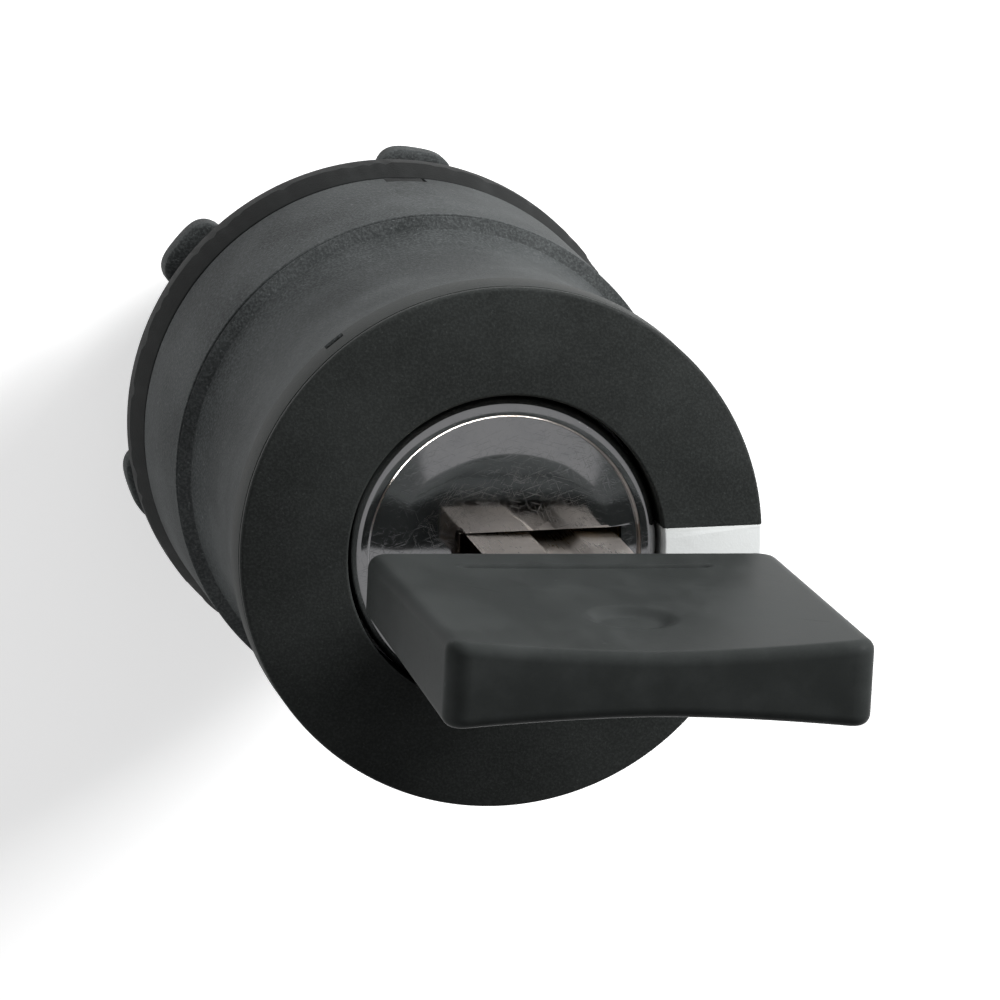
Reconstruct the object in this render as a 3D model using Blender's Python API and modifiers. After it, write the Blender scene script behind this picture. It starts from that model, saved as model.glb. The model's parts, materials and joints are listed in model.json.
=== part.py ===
"""Key-operated selector head for a 22 mm panel hole, as separate pieces at real size.

Metres. +Z runs along the switch axis, out of the panel towards the key. The origin is on
the axis, in the plane where the gasket meets the panel. At rest the index mark and the
cut edge of the key point along +X, and the panel key on the barrel along +Y.
"""

from math import cos, pi, radians, sin, sqrt

import bmesh
import bpy
from mathutils import Matrix, Vector

MM = 0.001

# ---- clearances ----
GAP = 0.3 * MM  # between pieces that touch or run on each other
INLAY_GAP = 0.05 * MM  # round the index mark, which is a tight inlay
CUT_OVER = 1.0 * MM  # how far a cutter runs past the wall it cuts
SINK = 0.4 * MM  # how far joined shapes run into each other

# ---- facets round a turned piece ----
SHELL_FACETS = 48
INNER_FACETS = 32
SMALL_FACETS = 16

# ---- panel side ----
GASKET_R = 15.0 * MM
GASKET_TOP_R = 14.45 * MM
GASKET_LIP_R = 13.8 * MM
GASKET_LIP_T = 2.8 * MM
GASKET_RIM_T = 1.1 * MM
GASKET_T = 1.3 * MM
GASKET_TAB_W = 2.3 * MM
GASKET_TAB_T = 1.3 * MM  # above the lip
BARREL_R = 11.0 * MM
BARREL_WALL = 1.7 * MM
BARREL_LENGTH = 10.4 * MM
PANEL_KEY_H = 1.0 * MM  # above the barrel
PANEL_KEY_W = 3.0 * MM
PANEL_KEY_LENGTH = 1.2 * MM
WASHER_W = 1.9 * MM  # from its bore to its rim
WASHER_T = 0.5 * MM
WASHER_DROP = 2.1 * MM  # panel seat to washer
NUT_WALL = 1.3 * MM  # of the round hub
NUT_ROOT_STEP = 0.6 * MM  # hub to the root of the lobes
NUT_LOBE_H = 1.8 * MM  # above their root
NUT_LOBE_T = 1.85 * MM
NUT_LENGTH = 4.4 * MM
NUT_LOBES = 6
NUT_LOBE_TURN = radians(81.5)
NUT_LOBE_WIDTH = radians(19.0)

# ---- fixed shell ----
BASE_R = 14.5 * MM
BASE_HEIGHT = 13.7 * MM  # panel seat to the seam
BASE_CAVITY_R = 12.6 * MM
BASE_FLOOR = 4.2 * MM  # panel seat to the floor of the wide cavity
COLLAR_RING_R = 14.5 * MM
COLLAR_STEP_R = 13.75 * MM
COLLAR_STEP_H = 0.45 * MM
COLLAR_WAIST_R = 13.35 * MM
COLLAR_WAIST_RISE = 3.8 * MM  # seam to the narrowest place
COLLAR_TOP_R = 14.35 * MM
COLLAR_WEB_T = 2.4 * MM
COLLAR_CAVITY_R = 12.45 * MM
COLLAR_SPIGOT_H = 1.7 * MM
SEAM_GAP = 0.25 * MM

# ---- turning front ----
FACE_R = 14.5 * MM
FACE_HEIGHT = 33.9 * MM  # panel seat to the edge of the face
FACE_RISE = 1.0 * MM  # edge of the face to the rim of its hole
FACE_EDGE_ROUND = 0.35 * MM
FACE_BAND_H = 2.8 * MM
FACE_SPIGOT_R = 12.1 * MM
FACE_SPIGOT_BORE_R = 10.6 * MM
FACE_SPIGOT_H = 2.6 * MM
FACE_HUB_H = 0.4 * MM
FACE_NICK_TURN = radians(130.5)
FACE_NICK_W = 1.2 * MM
FACE_NICK_H = 0.8 * MM
FACE_NICK_DEPTH = 0.7 * MM
MARK_W = 3.0 * MM
MARK_SHIFT = -0.13 * MM
MARK_DEPTH = 1.4 * MM

# ---- lock ----
HOUSING_R = 10.2 * MM
HOUSING_FLANGE_T = 1.9 * MM
HOUSING_DROP = 4.4 * MM  # edge of the face to the housing's front end
HOUSING_REAR_WALL = 2.6 * MM
HOUSING_NUT_T = 2.5 * MM
HOUSING_NUT_R = 12.0 * MM
GROOVE_DEPTH = 1.1 * MM
GROOVE_W = 5.2 * MM
GROOVE_LENGTH = 13.4 * MM
PLUG_R = 7.2 * MM
PLUG_HEAD_STEP = 0.5 * MM  # head of the plug beyond its barrel
PLUG_HEAD_H = 1.9 * MM
PLUG_JOURNAL_R = 5.0 * MM
PLUG_CAP_WALL = 0.45 * MM
PLUG_CAP_DROP = 0.5 * MM  # rim of the face's hole to the cap
PLUG_CAP_T = 0.8 * MM
PLUG_CAP_SKIRT_H = 1.9 * MM
PLUG_CAP_ROUND = 0.45 * MM
SEAL_WIRE_R = 0.35 * MM
KEYWAY_SHIFT = 2.0 * MM
WAFER_COUNT = 5
WAFER_PITCH = 2.6 * MM
WAFER_FROM_TIP = 2.2 * MM  # tip of the key to the first wafer
WAFER_T = 1.0 * MM
WAFER_ARM = 0.9 * MM  # beside the window
WAFER_INSET = 0.35 * MM  # end of a wafer inside the plug's side
WAFER_WINDOW_BACK = 3.3 * MM

# ---- drive and contacts ----
TAIL_DISC_R = 6.6 * MM
TAIL_DISC_T = 0.8 * MM
TANG_SIDE = 3.8 * MM
TENON_L = 6.0 * MM
TENON_W = 2.2 * MM
TENON_H = 1.2 * MM
CAM_R = 7.8 * MM
CAM_T = 3.2 * MM
CAM_HUB_R = 4.6 * MM
CAM_HUB_H = 0.7 * MM
RAMP_IN_R = 3.6 * MM
RAMP_OUT_R = 7.2 * MM
SWITCH_TURN = radians(90.0)
PLUNGER_TRAVEL = 3.5 * MM
PLUNGER_RADIUS = 5.4 * MM  # of the circle that the plungers stand on
PLUNGER_STEM_R = 1.5 * MM
PLUNGER_HEAD_R = 2.1 * MM
PLUNGER_TIP_R = 0.5 * MM
PLUNGER_HEAD_H = 2.5 * MM
PLUNGER_INSET = 0.3 * MM  # tip of the stem inside the rear cover's face
SPRING_WIRE_R = 0.18 * MM
PLUNGER_SPRING_R = 2.15 * MM
PLUNGER_SPRING_TURNS = 5
SCREW_SHANK_R = 1.1 * MM
SCREW_HEAD_R = 2.6 * MM
SCREW_HEAD_H = 1.3 * MM
SCREW_REACH = 2.8 * MM  # into the plug
SCREW_RECESS_W = 0.7 * MM
SCREW_RECESS_DEPTH = 0.8 * MM
SCREW_RECESS_SHARE = 0.6  # of the head's radius
CAM_WASHER_R = 3.0 * MM
CAM_WASHER_T = 0.6 * MM
COVER_INSET = 0.2 * MM  # inside the barrel's rim
COVER_T = 1.3 * MM
COVER_SPIGOT_H = 1.8 * MM
COVER_SPIGOT_WALL = 0.9 * MM
COVER_EYE_R = 2.0 * MM

# ---- detent ----
BALL_R = 1.1 * MM
BALL_CLEARANCE = 0.2 * MM
BALL_ANGLES = (radians(45.0), radians(225.0))
NOTCH_DEPTH = 0.3 * MM
DETENT_SPRING_R = 0.8 * MM
DETENT_SPRING_TURNS = 3

# ---- key ----
BLADE_W = 8.4 * MM
BLADE_T = 1.8 * MM
BLADE_LENGTH = 27.3 * MM  # tip to the back of the bow
BLADE_TIP_CHAMFER = 1.6 * MM
BLADE_TANG_W = 6.0 * MM
BLADE_TANG_L = 9.0 * MM
BLADE_CUTS = (0.9 * MM, 0.5 * MM, 1.2 * MM, 0.7 * MM, 0.4 * MM)
BLADE_CUT_FLAT = 0.6 * MM  # floor of a cut
BLADE_CUT_SLOPE = 0.7  # run of a cut's side for its depth
BLADE_GROOVE_W = 1.3 * MM
BLADE_GROOVE_DEPTH = 0.5 * MM
BLADE_UPPER_GROOVE_X = -1.4 * MM  # from the middle of the blade
BLADE_GROOVE_STOP = 1.0 * MM  # end of the grooves before the bow
BOW_STANDOFF = 7.6 * MM  # edge of the face to the back of the bow
BOW_W = 22.5 * MM
BOW_L = 22.2 * MM
BOW_T = 4.8 * MM  # at the two front corners
BOW_BACK_T = 3.5 * MM
BOW_MIDDLE_T = 3.45 * MM  # at the middle of the front edge
BOW_CORNER = 1.2 * MM
BOW_EDGE = 0.5 * MM
DIMPLE_R = 2.1 * MM
DIMPLE_DEPTH = 0.35 * MM
DIMPLE_FROM_FRONT = 7.8 * MM
BOW_LINE_L = 13.4 * MM
BOW_LINE_W = 0.5 * MM
BOW_LINE_FROM_BACK = 3.5 * MM

# ---- radii and widths that follow from the sizes above ----
BARREL_BORE_R = BARREL_R - BARREL_WALL
PANEL_KEY_R = BARREL_R + PANEL_KEY_H
GASKET_BORE_R = BARREL_R + GAP
NUT_BORE_R = BARREL_R + GAP
WASHER_R = NUT_BORE_R + WASHER_W
NUT_HUB_R = NUT_BORE_R + NUT_WALL
NUT_ROOT_R = NUT_HUB_R + NUT_ROOT_STEP
NUT_LOBE_R = NUT_ROOT_R + NUT_LOBE_H
COVER_R = BARREL_R - COVER_INSET
COVER_SPIGOT_BORE_R = BARREL_BORE_R - GAP - COVER_SPIGOT_WALL
HOUSING_BORE_R = PLUG_R + GAP
HOUSING_REAR_BORE_R = PLUG_JOURNAL_R + GAP
GROOVE_R = HOUSING_BORE_R + GROOVE_DEPTH
PLUG_HEAD_R = PLUG_R + PLUG_HEAD_STEP
PLUG_CAP_R = PLUG_HEAD_R + GAP + PLUG_CAP_WALL
FACE_HOLE_R = PLUG_CAP_R + GAP
COLLAR_BORE_R = HOUSING_R + GAP
DETENT_BORE_R = CAM_R + GAP
DETENT_R = BASE_CAVITY_R - GAP
STEM_HOLE_R = PLUNGER_STEM_R + GAP
SCREW_HOLE_R = SCREW_SHANK_R + GAP
KEYWAY_W = BLADE_W + 2 * GAP
KEYWAY_H = BLADE_T + 2 * GAP
WAFER_HALF_L = PLUG_R - WAFER_INSET
WAFER_WINDOW_W = KEYWAY_H + GAP
WAFER_W = WAFER_WINDOW_W + 2 * WAFER_ARM
BOW_SHIFT = KEYWAY_SHIFT

# ---- heights that follow from the sizes above ----
BASE_BOTTOM = GASKET_T + GAP
FLANGE_BOTTOM = GASKET_LIP_T + GAP
FLANGE_SPIGOT_R = GASKET_LIP_R - GAP
TAB_TOP = GASKET_LIP_T + GASKET_TAB_T
BARREL_END = -BARREL_LENGTH
WASHER_TOP = -WASHER_DROP
NUT_TOP = WASHER_TOP - WASHER_T - GAP
COVER_TOP = BARREL_END - GAP
COVER_END = COVER_TOP - COVER_T
COLLAR_BOTTOM = BASE_HEIGHT + SEAM_GAP
SPIGOT_BOTTOM = COLLAR_BOTTOM - COLLAR_SPIGOT_H
FACE_BAND_BOTTOM = FACE_HEIGHT - FACE_BAND_H
COLLAR_TOP = FACE_BAND_BOTTOM - GAP
FACE_RIM = FACE_HEIGHT + FACE_RISE
HOUSING_FLANGE_TOP = SPIGOT_BOTTOM - GAP
HOUSING_BOTTOM = HOUSING_FLANGE_TOP - HOUSING_FLANGE_T
HOUSING_STEP = HOUSING_BOTTOM + HOUSING_REAR_WALL
TAIL_DISC_TOP = HOUSING_BOTTOM - GAP
TAIL_DISC_BOTTOM = TAIL_DISC_TOP - TAIL_DISC_T
CAM_TOP = TAIL_DISC_BOTTOM - GAP - CAM_HUB_H
CAM_BOTTOM = CAM_TOP - CAM_T
PLUG_BOTTOM = TAIL_DISC_TOP + GAP * 2
PLUG_STEP = HOUSING_STEP + GAP
CAP_TOP = FACE_RIM - PLUG_CAP_DROP
PLUG_TOP = CAP_TOP - PLUG_CAP_T - GAP
PLUG_HEAD_BOTTOM = PLUG_TOP - PLUG_HEAD_H
KEY_TIP = FACE_HEIGHT + BOW_STANDOFF - BLADE_LENGTH
WAFER_FIRST = KEY_TIP + WAFER_FROM_TIP
KEYWAY_END = KEY_TIP - GAP
BOW_BACK = FACE_HEIGHT + BOW_STANDOFF
BOW_FRONT = BOW_BACK + BOW_L
HOUSING_END = FACE_HEIGHT - HOUSING_DROP
COLLAR_WEB_TOP = HOUSING_END - FACE_SPIGOT_H - GAP * 2 - HOUSING_NUT_T
DETENT_BOTTOM = BASE_FLOOR + GAP
DETENT_TOP = HOUSING_BOTTOM - GAP
BALL_Z = (CAM_TOP + CAM_BOTTOM) / 2
BALL_RADIUS = CAM_R + BALL_CLEARANCE + BALL_R
SCREW_HEAD_TOP = CAM_BOTTOM - GAP - CAM_WASHER_T - GAP
PLUNGER_TIP = CAM_BOTTOM - GAP
PLUNGER_HEAD_BOTTOM = PLUNGER_TIP - PLUNGER_HEAD_H


# ---- scene and materials ----


def clear_scene():
    """Empty the scene of everything it starts with."""
    for obj in list(bpy.data.objects):
        bpy.data.objects.remove(obj, do_unlink=True)


def new_collection(name, helper=False):
    group = bpy.data.collections.new(name)
    group.hide_render = helper
    bpy.context.scene.collection.children.link(group)
    return group


def finish_material(name, colour, roughness, metallic=0.0):
    made = bpy.data.materials.new(name)
    made.use_nodes = True
    shader = made.node_tree.nodes["Principled BSDF"]
    shader.inputs["Base Color"].default_value = (*colour, 1.0)
    shader.inputs["Roughness"].default_value = roughness
    shader.inputs["Metallic"].default_value = metallic
    return made


clear_scene()
PARTS = new_collection("selector_key_switch")
CUTTERS = new_collection("cutters", helper=True)

BLACK_PLASTIC = finish_material("black plastic", (0.028, 0.031, 0.031), 0.55)
FACE_PLASTIC = finish_material("face plastic", (0.018, 0.02, 0.02), 0.6)
KEY_PLASTIC = finish_material("key plastic", (0.014, 0.016, 0.015), 0.5)
SEAL_RUBBER = finish_material("seal rubber", (0.012, 0.013, 0.013), 0.8)
MARK_WHITE = finish_material("mark white", (0.72, 0.74, 0.73), 0.45)
POLISHED_CHROME = finish_material("polished chrome", (0.78, 0.78, 0.77), 0.12, 1.0)
NICKEL = finish_material("nickel", (0.66, 0.63, 0.58), 0.25, 1.0)
ZINC = finish_material("cast zinc", (0.5, 0.51, 0.52), 0.4, 1.0)
BRASS = finish_material("brass", (0.72, 0.55, 0.26), 0.3, 1.0)
STEEL = finish_material("spring steel", (0.55, 0.56, 0.58), 0.3, 1.0)
CAM_PLASTIC = finish_material("cam plastic", (0.6, 0.6, 0.56), 0.5)


# ---- shape helpers ----


def place(mesh, name, material, cutter=False):
    """An object for the mesh, in the parts collection or among the cutters."""
    obj = bpy.data.objects.new(name, mesh)
    if cutter:
        obj.hide_render = True
        obj.display_type = "WIRE"
        CUTTERS.objects.link(obj)
    else:
        mesh.materials.append(material)
        PARTS.objects.link(obj)
    return obj


def arc(centre, radius, start, end, steps):
    """Points along an arc in the radius-height plane, angles in degrees from +radius."""
    angles = [radians(start + (end - start) * i / steps) for i in range(steps + 1)]
    return [(centre[0] + radius * cos(a), centre[1] + radius * sin(a)) for a in angles]


def turned(name, profile, material, facets=INNER_FACETS, cutter=False, hollow=True):
    """Turn (radius, height) points about Z. The points run down the outer side first.

    A hollow profile is a closed loop; a solid one starts and ends on the axis.
    """
    mesh = bpy.data.meshes.new(name)
    count = len(profile)
    edges = [(i, i + 1) for i in range(count - 1)]
    if hollow:
        edges.append((count - 1, 0))
    mesh.from_pydata([(r, 0.0, z) for r, z in profile], edges, [])
    obj = place(mesh, name, material, cutter)
    screw = obj.modifiers.new("turn", "SCREW")
    screw.axis = "Z"
    screw.angle = 2 * pi
    screw.steps = facets
    screw.render_steps = facets
    screw.use_merge_vertices = True
    screw.merge_threshold = 0.000001
    screw.use_smooth_shade = True
    return obj


def rod_profile(radius, low, high):
    return [(0.0, high), (radius, high), (radius, low), (0.0, low)]


def ring_profile(outer, inner, low, high):
    return [(outer, high), (outer, low), (inner, low), (inner, high)]


def rod(name, radius, low, high, material=None, facets=SMALL_FACETS, at=(0.0, 0.0)):
    """A round bar along Z; without a material it is a cutter."""
    mesh = bpy.data.meshes.new(name)
    bm = bmesh.new()
    middle = Matrix.Translation((0.0, 0.0, (low + high) / 2))
    bmesh.ops.create_cone(
        bm,
        cap_ends=True,
        segments=facets,
        radius1=radius,
        radius2=radius,
        depth=high - low,
        matrix=middle,
    )
    bm.to_mesh(mesh)
    bm.free()
    obj = place(mesh, name, material, cutter=material is None)
    obj.location = (at[0], at[1], 0.0)
    return obj


def block(name, low, high, material=None):
    """A box between two corners; without a material it is a cutter."""
    low, high = Vector(low), Vector(high)
    size = high - low
    mesh = bpy.data.meshes.new(name)
    bm = bmesh.new()
    bmesh.ops.create_cube(bm, size=1.0, matrix=Matrix.Diagonal((*size, 1.0)))
    bm.to_mesh(mesh)
    bm.free()
    obj = place(mesh, name, material, cutter=material is None)
    obj.location = (low + high) / 2
    return obj


def flat_mesh(name, outlines, thickness):
    """A mesh of flat outlines in XY, filled and thickened about z = 0. Inner ones are holes."""
    curve = bpy.data.curves.new(name, "CURVE")
    curve.dimensions = "2D"
    curve.fill_mode = "BOTH"
    curve.extrude = thickness / 2
    for outline in outlines:
        spline = curve.splines.new("POLY")
        spline.points.add(len(outline) - 1)
        for point, (x, y) in zip(spline.points, outline):
            point.co = (x, y, 0.0, 1.0)
        spline.use_cyclic_u = True
    guide = bpy.data.objects.new(name, curve)
    CUTTERS.objects.link(guide)
    graph = bpy.context.evaluated_depsgraph_get()
    mesh = bpy.data.meshes.new_from_object(guide.evaluated_get(graph))
    bpy.data.objects.remove(guide)
    bpy.data.curves.remove(curve)
    bm = bmesh.new()
    bm.from_mesh(mesh)
    bmesh.ops.remove_doubles(bm, verts=bm.verts, dist=0.000001)
    bmesh.ops.recalc_face_normals(bm, faces=bm.faces)
    bm.to_mesh(mesh)
    bm.free()
    mesh.name = name
    return mesh


def cut(target, cutter, operation="DIFFERENCE"):
    change = target.modifiers.new(cutter.name, "BOOLEAN")
    change.operation = operation
    change.solver = "EXACT"
    change.object = cutter
    return change


def join(target, helper):
    """Join a helper shape, which is kept with the cutters."""
    return cut(target, helper, "UNION")


def coil(name, radius, wire, low, high, turns, material, frame=None):
    """A wire coil along Z between two heights, then moved by frame."""
    per_turn = 10
    curve = bpy.data.curves.new(name, "CURVE")
    curve.dimensions = "3D"
    curve.bevel_depth = wire
    curve.bevel_resolution = 1
    curve.use_fill_caps = True
    spline = curve.splines.new("POLY")
    count = turns * per_turn
    spline.points.add(count)
    for i, point in enumerate(spline.points):
        turn = 2 * pi * i / per_turn
        height = low + wire + (high - low - 2 * wire) * i / count
        point.co = (radius * cos(turn), radius * sin(turn), height, 1.0)
    curve.materials.append(material)
    obj = bpy.data.objects.new(name, curve)
    if frame is not None:
        obj.matrix_world = frame
    PARTS.objects.link(obj)
    return obj


def about_z(angle):
    return Matrix.Rotation(angle, 4, "Z")


def radial_frame(angle, radius, height):
    """A frame at a place on a circle, with its Z axis pointing outwards."""
    out = about_z(angle) @ Matrix.Translation((radius, 0.0, height))
    return out @ Matrix.Rotation(pi / 2, 4, "Y")


# ---- panel side ----


def make_base():
    """Rear body with its flange, and the barrel that passes through the panel."""
    profile = [
        (BASE_R, BASE_HEIGHT),
        (BASE_R, FLANGE_BOTTOM),
        (FLANGE_SPIGOT_R, FLANGE_BOTTOM),
        (FLANGE_SPIGOT_R, BASE_BOTTOM),
        (BARREL_R, BASE_BOTTOM),
        (BARREL_R, BARREL_END),
        (BARREL_BORE_R, BARREL_END),
        (BARREL_BORE_R, BASE_FLOOR),
        (BASE_CAVITY_R, BASE_FLOOR),
        (BASE_CAVITY_R, BASE_HEIGHT),
    ]
    base = turned("bezel_base", profile, BLACK_PLASTIC, SHELL_FACETS)
    half = PANEL_KEY_W / 2
    key = block(
        "panel_key_shape",
        (-half, BARREL_R - SINK, -PANEL_KEY_LENGTH),
        (half, PANEL_KEY_R, BASE_BOTTOM + SINK),
    )
    join(base, key)
    tab_half = GASKET_TAB_W / 2 + INLAY_GAP
    notch = block(
        "tab_notch",
        (-tab_half, BASE_CAVITY_R + GAP, 0.0),
        (tab_half, GASKET_R, TAB_TOP + INLAY_GAP),
    )
    cut(base, notch)
    return base


def key_notch(name, low, high):
    """Cutter that lets the panel key pass through a ring."""
    half = PANEL_KEY_W / 2 + GAP
    return block(name, (-half, 0.0, low - CUT_OVER), (half, PANEL_KEY_R + GAP, high + CUT_OVER))


def make_gasket():
    """Sealing ring on the panel, with a tab that locates it in the base."""
    profile = [
        (GASKET_TOP_R, GASKET_LIP_T),
        (GASKET_R, GASKET_RIM_T),
        (GASKET_R, 0.0),
        (GASKET_BORE_R, 0.0),
        (GASKET_BORE_R, GASKET_T),
        (GASKET_LIP_R, GASKET_T),
        (GASKET_LIP_R, GASKET_LIP_T),
    ]
    gasket = turned("panel_gasket", profile, SEAL_RUBBER, SHELL_FACETS)
    half = GASKET_TAB_W / 2
    tab = block(
        "gasket_tab_shape",
        (-half, FLANGE_SPIGOT_R + INLAY_GAP, GASKET_LIP_T - SINK),
        (half, GASKET_TOP_R - INLAY_GAP, TAB_TOP),
    )
    join(gasket, tab)
    cut(gasket, key_notch("gasket_notch", 0.0, GASKET_T))
    return gasket


def make_nut_washer():
    profile = ring_profile(WASHER_R, NUT_BORE_R, WASHER_TOP - WASHER_T, WASHER_TOP)
    washer = turned("nut_washer", profile, STEEL, SHELL_FACETS)
    cut(washer, key_notch("washer_notch", WASHER_TOP - WASHER_T, WASHER_TOP))
    return washer


def lobe_radius(angle):
    """Outer radius of the nut at an angle: round lobes standing on a round root."""
    pitch = 2 * pi / NUT_LOBES
    off = (angle - NUT_LOBE_TURN + pitch / 2) % pitch - pitch / 2
    share = min(1.0, abs(off) / (NUT_LOBE_WIDTH / 2))
    return NUT_ROOT_R + (NUT_LOBE_R - NUT_ROOT_R) * sqrt(1.0 - share**4)


def make_fixing_nut():
    """Hand nut with grip lobes, threaded on the barrel behind the panel."""
    count = 96
    angles = [2 * pi * i / count for i in range(count)]
    outer = [(lobe_radius(a) * cos(a), lobe_radius(a) * sin(a)) for a in angles]
    inner = [(NUT_BORE_R * cos(a), NUT_BORE_R * sin(a)) for a in angles[::2]]
    mesh = flat_mesh("fixing_nut", [outer, inner], NUT_LOBE_T)
    nut = place(mesh, "fixing_nut", BLACK_PLASTIC)
    nut.location.z = NUT_TOP - NUT_LOBE_T / 2
    hub = ring_profile(NUT_HUB_R, NUT_BORE_R, NUT_TOP - NUT_LENGTH, NUT_TOP - SINK)
    join(nut, turned("nut_hub", hub, None, SHELL_FACETS, cutter=True))
    return nut


def make_rear_cover():
    """Cover pressed into the end of the barrel. It guides the plungers' stems."""
    spigot_r = BARREL_BORE_R - GAP
    profile = [
        (spigot_r, COVER_TOP + COVER_SPIGOT_H),
        (spigot_r, COVER_TOP),
        (COVER_R, COVER_TOP),
        (COVER_R, COVER_END),
        (COVER_EYE_R, COVER_END),
        (COVER_EYE_R, COVER_TOP),
        (COVER_SPIGOT_BORE_R, COVER_TOP),
        (COVER_SPIGOT_BORE_R, COVER_TOP + COVER_SPIGOT_H),
    ]
    cover = turned("rear_cover", profile, BLACK_PLASTIC)
    for side, x in (("left", -PLUNGER_RADIUS), ("right", PLUNGER_RADIUS)):
        low, high = COVER_END - CUT_OVER, COVER_TOP + CUT_OVER
        cut(cover, rod(f"stem_hole_{side}", STEM_HOLE_R, low, high, at=(x, 0.0)))
    return cover


# ---- fixed shell in front ----


def waist_profile(steps=10):
    """Outer side of the collar, from its top down to the step above the seam ring."""
    waist = COLLAR_BOTTOM + COLLAR_WAIST_RISE
    points = []
    for i in range(steps + 1):
        share = i / steps
        fall = 1.0 - (1.0 - share) ** 2
        height = COLLAR_TOP + (waist - COLLAR_TOP) * share
        points.append((COLLAR_TOP_R + (COLLAR_WAIST_R - COLLAR_TOP_R) * fall, height))
    step_z = COLLAR_BOTTOM + COLLAR_STEP_H
    for i in range(1, 6):
        share = i / 5
        rise = share**2
        height = waist + (step_z - waist) * share
        points.append((COLLAR_WAIST_R + (COLLAR_STEP_R - COLLAR_WAIST_R) * rise, height))
    return points


def make_collar():
    """Waisted neck between the base and the face. Its spigot stands in the base."""
    spigot_r = BASE_CAVITY_R - GAP
    profile = waist_profile() + [
        (COLLAR_RING_R, COLLAR_BOTTOM),
        (spigot_r, COLLAR_BOTTOM),
        (spigot_r, SPIGOT_BOTTOM),
        (COLLAR_BORE_R, SPIGOT_BOTTOM),
        (COLLAR_BORE_R, COLLAR_WEB_TOP),
        (COLLAR_CAVITY_R, COLLAR_WEB_TOP),
        (COLLAR_CAVITY_R, COLLAR_TOP),
    ]
    return turned("collar", profile, BLACK_PLASTIC, SHELL_FACETS)


def make_lock_housing():
    """Fixed body of the lock, with a groove for the wafers at each end of the turn."""
    flange_r = BASE_CAVITY_R - GAP
    profile = [
        (HOUSING_R, HOUSING_END),
        (HOUSING_R, HOUSING_FLANGE_TOP),
        (flange_r, HOUSING_FLANGE_TOP),
        (flange_r, HOUSING_BOTTOM),
        (HOUSING_REAR_BORE_R, HOUSING_BOTTOM),
        (HOUSING_REAR_BORE_R, HOUSING_STEP),
        (HOUSING_BORE_R, HOUSING_STEP),
        (HOUSING_BORE_R, HOUSING_END),
    ]
    housing = turned("lock_housing", profile, ZINC)
    low = WAFER_FIRST - WAFER_PITCH / 2
    for turn in (pi, pi - SWITCH_TURN):
        groove = block(
            f"wafer_groove_{round(turn * 180 / pi)}",
            (0.0, -GROOVE_W / 2, low),
            (GROOVE_R, GROOVE_W / 2, low + GROOVE_LENGTH),
        )
        groove.matrix_world = about_z(turn) @ Matrix.Translation(groove.location)
        cut(housing, groove)
    return housing


def make_housing_nut():
    """Slotted ring nut that clamps the lock housing in the collar."""
    low = COLLAR_WEB_TOP + GAP
    high = low + HOUSING_NUT_T
    profile = ring_profile(HOUSING_NUT_R, HOUSING_R + GAP, low, high)
    nut = turned("housing_nut", profile, ZINC)
    slot = block(
        "spanner_slot",
        (-HOUSING_NUT_R - CUT_OVER, -MM, high - MM),
        (HOUSING_NUT_R + CUT_OVER, MM, high + CUT_OVER),
    )
    cut(nut, slot)
    return nut


# ---- turning front ----


def face_blank(name, material, cutter=False):
    """The whole front drum, before the index mark is let into it."""
    spigot_bottom = FACE_BAND_BOTTOM - FACE_SPIGOT_H
    hub_bottom = FACE_BAND_BOTTOM - FACE_HUB_H
    centre = (FACE_R - FACE_EDGE_ROUND, FACE_HEIGHT - FACE_EDGE_ROUND)
    edge = arc(centre, FACE_EDGE_ROUND, 90.0, 0.0, 4)
    profile = [(FACE_HOLE_R, FACE_RIM)] + edge + [
        (FACE_R, FACE_BAND_BOTTOM),
        (FACE_SPIGOT_R, FACE_BAND_BOTTOM),
        (FACE_SPIGOT_R, spigot_bottom),
        (FACE_SPIGOT_BORE_R, spigot_bottom),
        (FACE_SPIGOT_BORE_R, hub_bottom),
        (FACE_HOLE_R, hub_bottom),
    ]
    return turned(name, profile, material, SHELL_FACETS, cutter)


def mark_block(name, clearance):
    half = MARK_W / 2 + clearance
    return block(
        name,
        (FACE_HOLE_R - CUT_OVER, MARK_SHIFT - half, FACE_HEIGHT - MARK_DEPTH - clearance),
        (FACE_R + CUT_OVER, MARK_SHIFT + half, FACE_RIM + CUT_OVER),
    )


def make_face_cap():
    """Front drum with the slot for the index mark and a nick in its rear edge."""
    cap = face_blank("face_cap", FACE_PLASTIC)
    cut(cap, mark_block("mark_slot", INLAY_GAP))
    nick = block(
        "face_nick",
        (FACE_R - FACE_NICK_DEPTH, -FACE_NICK_W / 2, FACE_BAND_BOTTOM - CUT_OVER),
        (FACE_R + CUT_OVER, FACE_NICK_W / 2, FACE_BAND_BOTTOM + FACE_NICK_H),
    )
    nick.matrix_world = about_z(FACE_NICK_TURN) @ Matrix.Translation(nick.location)
    cut(cap, nick)
    return cap


def make_index_mark():
    mark = face_blank("index_mark", MARK_WHITE)
    cut(mark, mark_block("mark_space", 0.0), "INTERSECT")
    return mark


def keyway_cutter(name, low, high):
    return block(
        name,
        (KEYWAY_SHIFT - KEYWAY_W / 2, -KEYWAY_H / 2, low),
        (KEYWAY_SHIFT + KEYWAY_W / 2, KEYWAY_H / 2, high),
    )


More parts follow.
